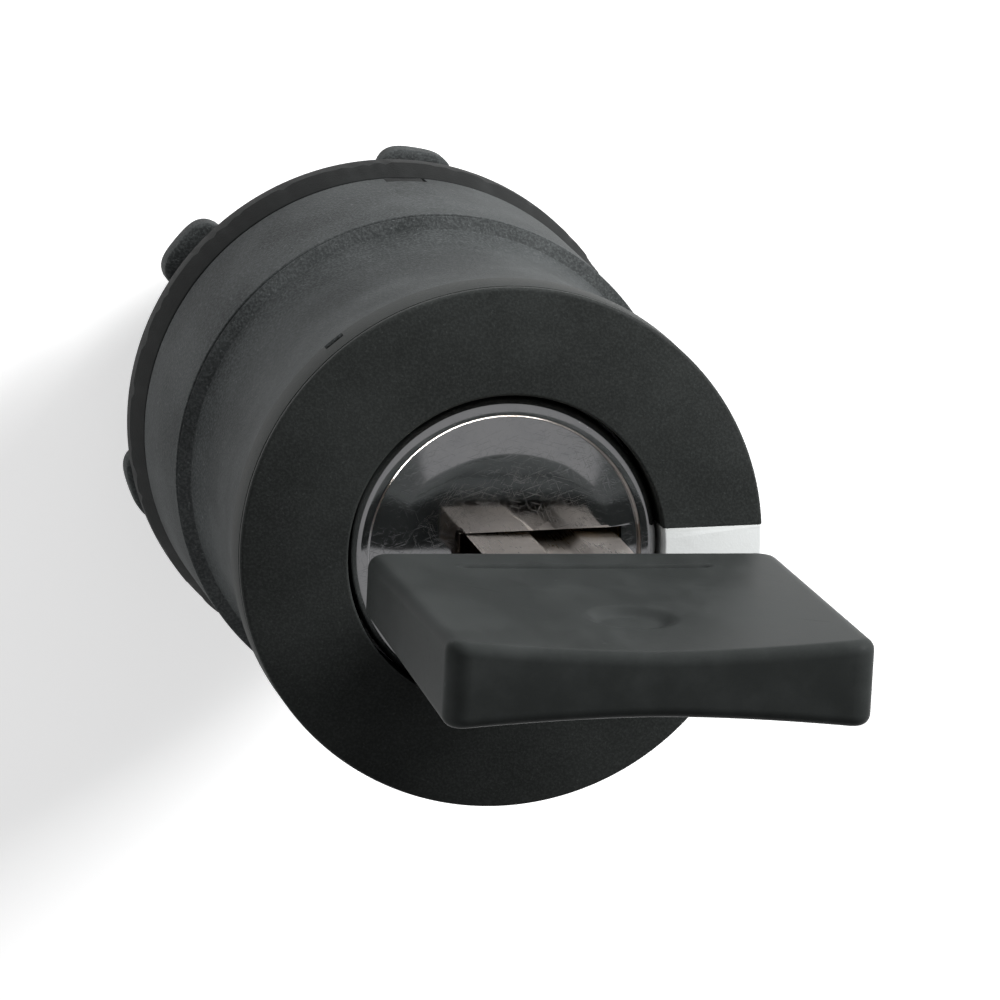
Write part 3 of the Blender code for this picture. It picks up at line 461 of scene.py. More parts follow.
@dataclass(frozen=True)
class PolishedChrome:
    """Bright plate with hairline scratches and a faint haze."""

    name: str = "polished chrome"
    bright: Colour = (0.78, 0.78, 0.79)
    dull: Colour = (0.58, 0.59, 0.62)
    hairlines: tuple[Point, ...] = ((1.15, 17000.0), (2.1, 24000.0), (2.75, 15000.0))
    haze: float = 1.7 * MM
    wear: float = 4.5 * MM
    relief: float = 0.004 * MM

    def make(self) -> bpy.types.Material:
        """Return the material.

        Returns:
            The material.
        """
        r = Recipe(self.name)
        place = r.place()
        lines = r.scratches(place, 0.25, 21000.0, 0.66)
        for angle, scale in self.hairlines:
            lines = lines + r.scratches(place, angle, scale, 0.67)
        lines = lines.lowest(1.0)
        haze = r.noise(place, 1 / self.haze, 3.0, 0.6)
        worn = r.noise(place.stretched(0.5, 1.0, 1.0), 1 / self.wear, 2.0, 0.5)
        worn = worn.between(0.42, 0.68)
        lines = lines * (0.35 + worn * 0.65)
        share = (haze.between(0.4, 0.75) * 0.3 + lines * 0.35).lowest(1.0)
        rough = 0.05 + haze * 0.05 + lines * 0.16
        height = 0.6 - lines * 0.3
        return r.finish(r.mix(share, self.bright, self.dull), rough, height, self.relief, 1.0)


@dataclass(frozen=True)
class DrawnMetal:
    """Metal with a fine line grain along one axis, brushed or drawn."""

    name: str
    bright: Colour
    dull: Colour
    roughness: float = 0.24
    along: tuple[float, float, float] = (1.0, 1.0, 0.05)
    line: float = 0.07 * MM
    tarnish: float = 1.9 * MM
    relief: float = 0.006 * MM

    def make(self) -> bpy.types.Material:
        """Return the material.

        Returns:
            The material.
        """
        r = Recipe(self.name)
        place = r.place()
        lines = r.noise(place.stretched(*self.along), 1 / self.line, 2.0, 0.6)
        tarnish = r.noise(place, 1 / self.tarnish, 4.0, 0.6)
        share = (tarnish.between(0.4, 0.8) * 0.7 + lines * 0.3).lowest(1.0)
        rough = self.roughness + (lines - 0.5) * 0.14 + (tarnish - 0.5) * 0.16
        colour = r.mix(share, self.bright, self.dull)
        return r.finish(colour, rough, lines, self.relief, 1.0)


@dataclass(frozen=True)
class CastMetal:
    """Cast metal with a pebbled skin."""

    name: str
    bright: Colour
    dull: Colour
    roughness: float = 0.42
    pebble: float = 0.3 * MM
    flow: float = 3.5 * MM
    relief: float = 0.02 * MM

    def make(self) -> bpy.types.Material:
        """Return the material.

        Returns:
            The material.
        """
        r = Recipe(self.name)
        place = r.place()
        skin = r.noise(place, 1 / self.pebble, 4.0, 0.65)
        flow = r.noise(place, 1 / self.flow, 3.0, 0.5)
        share = (skin.between(0.3, 0.8) * 0.6 + flow * 0.4).lowest(1.0)
        rough = self.roughness + (skin - 0.5) * 0.2
        colour = r.mix(share, self.bright, self.dull)
        return r.finish(colour, rough, skin, self.relief, 1.0)


@dataclass(frozen=True)
class PaleInlay:
    """Pale plastic let into the face, with fine grain and a little grime at its edges."""

    name: str = "mark white"
    clean: Colour = (0.66, 0.68, 0.675)
    grimy: Colour = (0.5, 0.51, 0.5)
    grain: float = 0.16 * MM
    cloud: float = 1.5 * MM
    middle: float = -0.2 * MM
    edge_from: float = 1.3 * MM
    edge_to: float = 1.5 * MM
    relief: float = 0.008 * MM

    def make(self) -> bpy.types.Material:
        """Return the material.

        Returns:
            The material.
        """
        r = Recipe(self.name)
        place = r.place()
        grain = r.noise(place, 1 / self.grain, 2.0, 0.6)
        clouds = r.noise(place, 1 / self.cloud, 3.0, 0.6)
        _, y, _ = place.parts()
        edge = abs(y - self.middle).between(self.edge_from, self.edge_to)
        share = (clouds.between(0.45, 0.8) * 0.3 + grain * 0.12 + edge * 0.35).lowest(1.0)
        rough = 0.42 + (grain - 0.5) * 0.12
        return r.finish(r.mix(share, self.clean, self.grimy), rough, grain, self.relief)


@dataclass(frozen=True)
class MouldedRubber:
    """Black seal rubber with a dusty bloom."""

    name: str = "seal rubber"
    dark: Colour = (0.006, 0.0066, 0.0066)
    bloom: Colour = (0.016, 0.0175, 0.0175)
    grain: float = 0.14 * MM
    dust: float = 2.2 * MM
    relief: float = 0.02 * MM
    specular: float = 0.08

    def make(self) -> bpy.types.Material:
        """Return the material.

        Returns:
            The material.
        """
        r = Recipe(self.name)
        place = r.place()
        grain = r.noise(place, 1 / self.grain, 3.0, 0.6)
        dust = r.noise(place, 1 / self.dust, 4.0, 0.65)
        share = (dust.between(0.45, 0.8) * 0.7 + grain * 0.2).lowest(1.0)
        rough = 0.62 + (dust - 0.5) * 0.2
        colour = r.mix(share, self.dark, self.bloom)
        height = grain * 0.7 + dust * 0.3
        return r.finish(colour, rough, height, self.relief, Specular_IOR_Level=self.specular)


def make_finishes() -> Finishes:
    """Make one finish for every slot.

    Returns:
        The materials by slot.
    """
    steel_bright, steel_dull = (0.62, 0.63, 0.65), (0.4, 0.41, 0.43)
    brass_bright, brass_dull = (0.76, 0.6, 0.3), (0.55, 0.4, 0.18)
    finishes = {
        Slot.BLACK: GrainedPlastic(
            "black plastic",
            (0.025, 0.0272, 0.0275),
            (0.092, 0.098, 0.099),
            0.5,
            grain=0.15 * MM,
            relief=0.035 * MM,
            specular=0.012,
        ),
        Slot.FACE: GrainedPlastic(
            "face plastic",
            (0.0175, 0.019, 0.0184),
            (0.041, 0.0445, 0.0432),
            0.5,
            grain=0.14 * MM,
            relief=0.012 * MM,
            specular=0.03,
        ),
        Slot.KEY: HandledPlastic(
            "key plastic", (0.0205, 0.0225, 0.022), (0.037, 0.04, 0.0395), 0.34, 0.012
        ),
        Slot.RUBBER: MouldedRubber(),
        Slot.MARK: PaleInlay(),
        Slot.CHROME: PolishedChrome(),
        Slot.NICKEL: DrawnMetal("nickel", (0.68, 0.63, 0.58), (0.42, 0.37, 0.33), 0.3),
        Slot.ZINC: CastMetal("cast zinc", (0.6, 0.61, 0.62), (0.4, 0.41, 0.42)),
        Slot.BRASS: DrawnMetal("brass", brass_bright, brass_dull, 0.28, (0.1, 0.1, 1.0)),
        Slot.STEEL: DrawnMetal("spring steel", steel_bright, steel_dull, 0.3, (0.2, 0.2, 1.0)),
        Slot.CAM: GrainedPlastic(
            "cam plastic", (0.52, 0.52, 0.48), (0.64, 0.64, 0.6), 0.45, 0.2 * MM, specks=0.1
        ),
    }
    return {slot: finish.make() for slot, finish in finishes.items()}


# ---- mesh building ----


def add_object(name: str, bm: bmesh.types.BMesh) -> bpy.types.Object:
    """Turn a finished bmesh into an object.

    Args:
        name: The object's name.
        bm: Its mesh, which is freed.

    Returns:
        The object, in the scene.
    """
    bmesh.ops.recalc_face_normals(bm, faces=bm.faces)
    mesh = bpy.data.meshes.new(name)
    bm.to_mesh(mesh)
    bm.free()
    obj = bpy.data.objects.new(name, mesh)
    bpy.context.scene.collection.objects.link(obj)
    return obj


def settle(obj: bpy.types.Object) -> bpy.types.Object:
    """Apply every modifier of an object.

    Args:
        obj: The object, which keeps its name.

    Returns:
        The same object.
    """
    bpy.context.view_layer.update()
    graph = bpy.context.evaluated_depsgraph_get()
    mesh = bpy.data.meshes.new_from_object(obj.evaluated_get(graph))
    old = obj.data
    obj.modifiers.clear()
    obj.data = mesh
    bpy.data.meshes.remove(old)
    mesh.name = obj.name
    return obj


def carve(
    target: bpy.types.Object, tool: bpy.types.Object, operation: str = "DIFFERENCE"
) -> bpy.types.Object:
    """Cut, join or intersect a piece with a tool shape, which is used up.

    Args:
        target: The piece.
        tool: The other shape.
        operation: The Boolean modifier's operation.

    Returns:
        The piece.
    """
    change = target.modifiers.new("carve", "BOOLEAN")
    change.operation = operation
    change.solver = "EXACT"
    change.object = tool
    settle(target)
    bpy.data.objects.remove(tool)
    return target


def soften(obj: bpy.types.Object, width: float, steps: int = 2, angle: float = 40.0) -> None:
    """Round every sharp edge of a piece.

    Args:
        obj: The piece.
        width: Width of the rounding.
        steps: Facets across it.
        angle: Smallest angle between faces that counts as sharp, in degrees.
    """
    change = obj.modifiers.new("soften", "BEVEL")
    change.width = width
    change.segments = steps
    change.limit_method = "ANGLE"
    change.angle_limit = math.radians(angle)
    change.use_clamp_overlap = True
    settle(obj)


def smooth(obj: bpy.types.Object, angle: float = 32.0) -> bpy.types.Object:
    """Shade a piece smooth, apart from edges sharper than an angle in degrees.

    Args:
        obj: The piece.
        angle: Angle above which an edge stays sharp, in degrees.

    Returns:
        The piece.
    """
    obj.data.shade_smooth()
    obj.data.set_sharp_from_angle(angle=math.radians(angle))
    return obj


def filleted(corners: Sequence[Corner], steps: int = 5) -> list[Point]:
    """Round the corners of a closed profile.

    Args:
        corners: (radius, height, fillet) in order round the profile.
        steps: Facets across a fillet.

    Returns:
        The profile's points.
    """
    points: list[Point] = []
    count = len(corners)
    for i, (radius, height, fillet) in enumerate(corners):
        here = Vector((radius, height))
        before = Vector(corners[i - 1][:2]) - here
        after = Vector(corners[(i + 1) % count][:2]) - here
        if fillet <= 0:
            points.append((radius, height))
            continue
        half = before.angle(after) / 2
        reach = min(fillet / math.tan(half), 0.48 * before.length, 0.48 * after.length)
        round_r = reach * math.tan(half)
        a, b = before.normalized(), after.normalized()
        centre = here + (a + b).normalized() * (round_r / math.sin(half))
        start, end = here + a * reach - centre, here + b * reach - centre
        total = math.pi - 2 * half
        for k in range(steps + 1):
            share = k / steps
            near, far = math.sin((1 - share) * total), math.sin(share * total)
            spot = centre + (start * near + end * far) / math.sin(total)
            points.append((spot.x, spot.y))
    return points


def turned(
    name: str, profile: Sequence[Point], facets: int = FINE, shape: Optional[Shape] = None
) -> bpy.types.Object:
    """Turn a closed profile about the switch's axis.

    Args:
        name: The object's name.
        profile: (radius, height) points. Points on the axis close the piece there.
        facets: Facets round the piece.
        shape: Gives the radius from (radius, height, angle), for lobes and threads.

    Returns:
        The turned piece.
    """
    bm = bmesh.new()
    rings: list[list[bmesh.types.BMVert]] = []
    for radius, height in profile:
        if radius <= 1e-9:
            rings.append([bm.verts.new((0.0, 0.0, height))])
            continue
        ring = []
        for i in range(facets):
            angle = 2 * math.pi * i / facets
            r = shape(radius, height, angle) if shape else radius
            ring.append(bm.verts.new((r * math.cos(angle), r * math.sin(angle), height)))
        rings.append(ring)
    for one, two in zip(rings, rings[1:] + rings[:1]):
        if len(one) == 1 and len(two) == 1:
            continue
        for i in range(facets):
            j = (i + 1) % facets
            if len(one) == 1:
                bm.faces.new((one[0], two[j], two[i]))
            elif len(two) == 1:
                bm.faces.new((one[i], one[j], two[0]))
            else:
                bm.faces.new((one[i], one[j], two[j], two[i]))
    return add_object(name, bm)


def block(
    name: str, low: Sequence[float], high: Sequence[float], edge: float = 0.0, steps: int = 2
) -> bpy.types.Object:
    """Make a box between two corners, with rounded edges if edge is over 0.

    Args:
        name: The object's name.
        low: Lowest corner.
        high: Highest corner.
        edge: Radius of the edges.
        steps: Facets across an edge.

    Returns:
        The box.
    """
    bm = bmesh.new()
    size = Vector(high) - Vector(low)
    move = Matrix.Translation((Vector(low) + Vector(high)) / 2)
    bmesh.ops.create_cube(bm, size=1.0, matrix=move @ Matrix.Diagonal((*size, 1.0)))
    if edge > 0:
        bmesh.ops.bevel(
            bm, geom=list(bm.edges), offset=edge, segments=steps, profile=0.5, affect="EDGES"
        )
    return add_object(name, bm)


def bar(
    name: str, radius: float, low: float, high: float, facets: int = 64, at: Point = (0.0, 0.0)
) -> bpy.types.Object:
    """Make a round bar along Z.

    Args:
        name: The object's name.
        radius: Its radius.
        low: Height of its lower end.
        high: Height of its upper end.
        facets: Facets round it.
        at: Where its axis stands.

    Returns:
        The bar.
    """
    bm = bmesh.new()
    move = Matrix.Translation((at[0], at[1], (low + high) / 2))
    bmesh.ops.create_cone(
        bm,
        cap_ends=True,
        segments=facets,
        radius1=radius,
        radius2=radius,
        depth=high - low,
        matrix=move,
    )
    return add_object(name, bm)


def turn_about_axis(obj: bpy.types.Object, angle: float) -> bpy.types.Object:
    """Turn a shape about the switch's axis, in its mesh.

    Args:
        obj: The shape.
        angle: The turn in radians.

    Returns:
        The shape.
    """
    obj.data.transform(Matrix.Rotation(angle, 4, "Z"))
    return obj


def dress(
    obj: bpy.types.Object, slot: Slot, body: Body, finishes: Finishes, *nodes: str
) -> bpy.types.Object:
    """Give a finished piece its material, its body and the frame nodes that it stands for.

    Args:
        obj: The piece.
        slot: Its material slot.
        body: The body that it rides on.
        finishes: Materials by slot.
        *nodes: Frame nodes that it replaces.

    Returns:
        The piece.
    """
    obj.data.materials.clear()
    obj.data.materials.append(finishes[slot])
    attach(obj, body.value)
    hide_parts(*nodes)
    log.info("%s: %d faces, rides on %s", obj.name, len(obj.data.polygons), body.value)
    return obj


# ---- panel side ----


@dataclass
class PanelSide:
    """Gasket, base with its barrel, and the rear cover."""

    gasket_r: float = 15.0 * MM
    lip_out_r: float = 14.45 * MM
    lip_in_r: float = 13.8 * MM
    lip_top: float = 2.8 * MM
    rim_top: float = 1.1 * MM
    gasket_t: float = 1.3 * MM
    tab_w: float = 2.3 * MM
    tab_top: float = 4.1 * MM
    tab_play: float = 0.05 * MM
    base_r: float = 14.5 * MM
    base_top: float = 13.7 * MM
    cavity_r: float = 12.6 * MM
    floor: float = 4.2 * MM
    barrel_r: float = 11.0 * MM
    bore_r: float = 9.3 * MM
    barrel_end: float = -10.4 * MM
    thread_pitch: float = 1.5 * MM
    thread_depth: float = 0.55 * MM
    thread_fade: float = 0.8 * MM
    nick_depth: float = 0.13 * MM
    key_r: float = 12.0 * MM
    key_w: float = 3.0 * MM
    key_end: float = -1.2 * MM
    cover_r: float = 10.8 * MM
    cover_end: float = -12.0 * MM
    cover_eye_r: float = 2.0 * MM
    cover_rim_r: float = 9.2 * MM
    cover_field_r: float = 8.3 * MM
    cover_hub_r: float = 3.1 * MM
    cover_sunk: float = 0.25 * MM
    spigot_h: float = 1.8 * MM
    spigot_in_r: float = 8.1 * MM
    stem_hole_r: float = 1.8 * MM
    stem_radius: float = 5.4 * MM

    def key_slot(self, low: float, high: float) -> bpy.types.Object:
        """Make the cutter that lets the panel key through a ring."""
        half = self.key_w / 2 + GAP
        return block("key_slot", (-half, 0.0, low - MM), (half, self.key_r + GAP, high + MM))

    def make_gasket(self) -> bpy.types.Object:
        """Turn the gasket with its forward lip, then add the tab and cut the key slot.

        Returns:
            The gasket.
        """
        corners = [
            (self.lip_out_r, self.lip_top, 0.12 * MM),
            (self.gasket_r, self.rim_top, 0.08 * MM),
            (self.gasket_r, 0.0, 0.12 * MM),
            (self.barrel_r + GAP, 0.0, 0.0),
            (self.barrel_r + GAP, self.gasket_t, 0.1 * MM),
            (self.lip_in_r, self.gasket_t, 0.1 * MM),
            (self.lip_in_r, self.lip_top, 0.1 * MM),
        ]
        gasket = turned("gasket", filleted(corners), FINE, self.ragged_rim)
        half = self.tab_w / 2
        low = (-half, self.lip_in_r - 0.25 * MM, self.lip_top - 0.5 * MM)
        high = (half, self.lip_out_r - 0.05 * MM, self.tab_top)
        carve(gasket, block("tab", low, high, 0.12 * MM), "UNION")
        return carve(gasket, self.key_slot(0.0, self.gasket_t))

    def ragged_rim(self, radius: float, height: float, angle: float) -> float:
        """Return the radius with the small moulding nicks of the gasket's front edge.

        Args:
            radius: The profile's radius.
            height: Height along the axis.
            angle: Angle round the axis, in radians.

        Returns:
            The radius there.
        """
        if radius < self.gasket_r - 0.2 * MM or height < 0.8 * MM:
            return radius
        bite = 0.0
        for turns, phase, power in ((23, 0.4, 24), (37, 1.9, 30), (61, 2.6, 22)):
            bite += max(0.0, math.sin(turns * angle / 2 + phase)) ** power
        return radius - self.nick_depth * min(1.0, bite)

    def thread(self, radius: float, height: float, angle: float) -> float:
        """Return the barrel's radius with its thread cut in.

        Args:
            radius: The profile's radius.
            height: Height along the axis.
            angle: Angle round the axis, in radians.

        Returns:
            The radius there.
        """
        if abs(radius - self.barrel_r) > 0.01 * MM:
            return radius
        top, bottom = self.key_end - 0.4 * MM, self.barrel_end + 0.6 * MM
        fade = min(1.0, max(0.0, (top - height) / self.thread_fade))
        fade *= min(1.0, max(0.0, (height - bottom) / self.thread_fade))
        turn = (height / self.thread_pitch - angle / (2 * math.pi)) % 1.0
        groove = max(0.0, 1.0 - abs(turn - 0.5) / 0.36)
        return radius - self.thread_depth * fade * min(1.0, groove * 1.15)

    def make_base(self) -> bpy.types.Object:
        """Turn the base and its threaded barrel, then add the panel key and cut the tab notch.

        Returns:
            The base.
        """
        skirt_r, skirt_bottom = self.lip_in_r - GAP, self.gasket_t + GAP
        outer = [
            (self.base_r, self.base_top, 0.1 * MM),
            (self.base_r, self.lip_top + GAP, 0.14 * MM),
            (skirt_r, self.lip_top + GAP, 0.05 * MM),
            (skirt_r, skirt_bottom, 0.1 * MM),
            (self.barrel_r, skirt_bottom, 0.0),
            (self.barrel_r, self.barrel_end, 0.3 * MM),
            (self.bore_r, self.barrel_end, 0.15 * MM),
            (self.bore_r, self.floor, 0.15 * MM),
            (self.cavity_r, self.floor, 0.2 * MM),
            (self.cavity_r, self.base_top, 0.12 * MM),
        ]
        profile: list[Point] = []
        for one, two in zip(filleted(outer), filleted(outer)[1:] + filleted(outer)[:1]):
            profile.append(one)
            on_barrel = abs(one[0] - self.barrel_r) < 1e-7 and abs(two[0] - self.barrel_r) < 1e-7
            if on_barrel and one[1] - two[1] > MM:
                steps = round((one[1] - two[1]) / (0.125 * MM))
                drop = (two[1] - one[1]) / steps
                profile += [(self.barrel_r, one[1] + drop * k) for k in range(1, steps)]
        base = turned("base", profile, FINE, self.thread)
        half = self.key_w / 2
        low = (-half, self.barrel_r - 0.8 * MM, self.key_end)
        key = block("panel_key", low, (half, self.key_r, skirt_bottom + 0.4 * MM), 0.15 * MM)
        carve(base, key, "UNION")
        tab_half = self.tab_w / 2 + self.tab_play
        low = (-tab_half, self.cavity_r + GAP, 0.0)
        high = (tab_half, self.gasket_r, self.tab_top + self.tab_play)
        return carve(base, block("notch", low, high))

    def make_cover(self) -> bpy.types.Object:
        """Turn the rear cover with a raised rim and a ring groove, then bore the stem holes.

        Returns:
            The cover.
        """
        spigot_r, top = self.bore_r - GAP, self.barrel_end - GAP
        groove_z = self.cover_end + self.cover_sunk
        corners = [
            (spigot_r, top + self.spigot_h, 0.2 * MM),
            (spigot_r, top, 0.0),
            (self.cover_r, top, 0.1 * MM),
            (self.cover_r, self.cover_end, 0.3 * MM),
            (self.cover_rim_r, self.cover_end, 0.1 * MM),
            (self.cover_rim_r - 0.2 * MM, groove_z, 0.06 * MM),
            (self.cover_field_r + 0.2 * MM, groove_z, 0.06 * MM),
            (self.cover_field_r, self.cover_end, 0.1 * MM),
            (self.cover_hub_r, self.cover_end, 0.1 * MM),
            (self.cover_hub_r - 0.15 * MM, groove_z, 0.06 * MM),
            (self.cover_eye_r, groove_z, 0.1 * MM),
            (self.cover_eye_r, top, 0.1 * MM),
            (self.spigot_in_r, top, 0.1 * MM),
            (self.spigot_in_r, top + self.spigot_h, 0.15 * MM),
        ]
        cover = turned("rear_cap", filleted(corners), 192)
        for side in (-1, 1):
            at = (side * self.stem_radius, 0.0)
            hole = bar("stem_hole", self.stem_hole_r, self.cover_end - MM, top + MM, 64, at)
            carve(cover, hole)
            lead = turned_funnel(self.stem_hole_r, self.cover_end, 0.2 * MM, at)
            carve(cover, lead)
        return cover

    def build(self, finishes: Finishes) -> None:
        """Make and dress the three pieces.

        Args:
            finishes: Materials by slot.
        """
        dress(smooth(self.make_gasket()), Slot.RUBBER, Body.HEAD, finishes, "panel_gasket")
        dress(smooth(self.make_base()), Slot.BLACK, Body.HEAD, finishes, "bezel_base")
        dress(smooth(self.make_cover()), Slot.BLACK, Body.HEAD, finishes, "rear_cover")


def turned_funnel(radius: float, face: float, depth: float, at: Point) -> bpy.types.Object:
    """Make the cutter for the countersink of a hole in a face that looks down.

    Args:
        radius: The hole's radius.
        face: Height of the face.
        depth: Depth of the countersink.
        at: Centre of the hole.

    Returns:
        The cutter.
    """
    corners = [
        (0.0, face + depth * 2),
        (radius - depth, face + depth * 2),
        (radius + depth * 1.5, face - depth / 2),
        (0.0, face - depth / 2),
    ]
    funnel = turned("funnel", corners, 64)
    funnel.data.transform(Matrix.Translation((at[0], at[1], 0.0)))
    return funnel


@dataclass
class Fixing:
    """Hand nut with grip lobes and the washer before it."""

    root_r: float = 13.2 * MM
    lobe_r: float = 15.0 * MM
    lobe_t: float = 1.85 * MM
    hub_r: float = 12.6 * MM
    length: float = 4.4 * MM
    top: float = -2.9 * MM
    bore_r: float = 11.3 * MM
    lobes: int = 6
    lobe_turn: float = math.radians(81.5)
    lobe_half: float = math.radians(9.5)
    washer_r: float = 13.2 * MM
    washer_top: float = -2.1 * MM
    washer_t: float = 0.5 * MM

    def lobed(self, radius: float, height: float, angle: float) -> float:
        """Return the nut's radius at an angle: rounded lobes on the rows that carry them.

        Args:
            radius: The profile's radius.
            height: Height along the axis, which changes nothing.
            angle: Angle round the axis, in radians.

        Returns:
            The radius there.
        """
        if radius < self.hub_r + 0.1 * MM:
            return radius
        pitch = 2 * math.pi / self.lobes
        off = (angle - self.lobe_turn + pitch / 2) % pitch - pitch / 2
        share = min(1.0, abs(off) / self.lobe_half)
        rise = (1.0 - share**4) ** 0.5
        inset = min(1.0, (self.root_r - radius) / (0.35 * MM))
        return radius + (self.lobe_r - self.root_r - 0.3 * MM * inset) * rise

    def make_nut(self) -> bpy.types.Object:
        """Turn the nut, with grip lobes on its front flange and a round hub behind.

        Returns:
            The nut.
        """
        bottom, step = self.top - self.length, self.top - self.lobe_t
        corners = [
            (self.root_r, self.top, 0.35 * MM),
            (self.root_r, step, 0.35 * MM),
            (self.hub_r, step, 0.1 * MM),
            (self.hub_r, bottom, 0.3 * MM),
            (self.bore_r, bottom, 0.2 * MM),
            (self.bore_r, self.top, 0.2 * MM),
        ]
        return turned("hand_nut", filleted(corners, 7), 2 * FINE, self.lobed)

    def make_washer(self, slot: bpy.types.Object) -> bpy.types.Object:
        """Turn the washer and cut its key slot.

        Args:
            slot: Cutter for its key slot, which is used up.

        Returns:
            The washer.
        """
        low = self.washer_top - self.washer_t
        corners = [
            (self.washer_r, self.washer_top, 0.1 * MM),
            (self.washer_r, low, 0.1 * MM),
            (self.bore_r, low, 0.05 * MM),
            (self.bore_r, self.washer_top, 0.05 * MM),
        ]
        return carve(turned("lock_washer", filleted(corners, 3)), slot)

    def build(self, finishes: Finishes, panel: PanelSide) -> None:
        """Make and dress the nut and the washer.

        Args:
            finishes: Materials by slot.
            panel: The panel side, whose key the washer fits.
        """
        dress(smooth(self.make_nut()), Slot.BLACK, Body.NUT, finishes, "fixing_nut")
        washer = self.make_washer(panel.key_slot(-4.0 * MM, 0.0))
        dress(smooth(washer), Slot.STEEL, Body.WASHER, finishes, "nut_washer")


# ---- neck ----


@dataclass
class Neck:
    """Waisted collar between the base and the turning face."""

    ring_r: float = 14.5 * MM
    bottom: float = 13.95 * MM
    step_r: float = 13.75 * MM
    step_top: float = 14.4 * MM
    waist_r: float = 13.35 * MM
    waist_z: float = 17.75 * MM
    top_r: float = 14.35 * MM
    top: float = 30.8 * MM
    spigot_r: float = 12.3 * MM
    spigot_bottom: float = 12.25 * MM
    bore_r: float = 10.5 * MM
    web_top: float = 23.8 * MM
    cavity_r: float = 12.45 * MM
    lip: float = 0.12 * MM
    flare_steps: int = 12

    def waist(self, steps: int = 28) -> list[Point]:
        """Return the curved outer side, from the top down to the step.

        Args:
            steps: Facets from the top to the waist.

        Returns:
            (radius, height) points.
        """
        points: list[Point] = []
        for i in range(steps + 1):
            share = i / steps
            fall = 1.0 - (1.0 - share) ** 2
            height = self.top - self.lip + (self.waist_z - self.top + self.lip) * share
            points.append((self.top_r + (self.waist_r - self.top_r) * fall, height))
        for i in range(1, self.flare_steps):
            share = i / self.flare_steps
            height = self.waist_z + (self.step_top - self.waist_z) * share
            points.append((self.waist_r + (self.step_r - self.waist_r) * share**2, height))
        return points

    def make(self) -> bpy.types.Object:
        """Turn the collar with its waist, the raised ring at its foot and its spigot.

        Returns:
            The collar.
        """
        foot = [
            (self.step_r, self.step_top, 0.06 * MM),
            (self.ring_r - 0.05 * MM, self.bottom + 0.06 * MM, 0.05 * MM),
            (self.ring_r - 0.05 * MM, self.bottom, 0.03 * MM),
            (self.spigot_r, self.bottom, 0.05 * MM),
            (self.spigot_r, self.spigot_bottom, 0.15 * MM),
            (self.bore_r, self.spigot_bottom, 0.15 * MM),
            (self.bore_r, self.web_top, 0.1 * MM),
            (self.cavity_r, self.web_top, 0.2 * MM),
            (self.cavity_r, self.top, 0.08 * MM),
            (self.top_r - 0.1 * MM, self.top, 0.08 * MM),
        ]
        start = (self.top_r, self.top - self.lip, 0.0)
        before = (self.waist_r + 0.36 * MM, self.step_top + 0.3 * MM, 0.0)
        rounded = filleted([before] + foot + [start])
        return turned("neck", self.waist() + rounded[1:-1])

    def build(self, finishes: Finishes) -> None:
        """Make and dress the collar."""
        dress(smooth(self.make(), 40.0), Slot.BLACK, Body.HEAD, finishes, "collar")


# ---- turning front ----


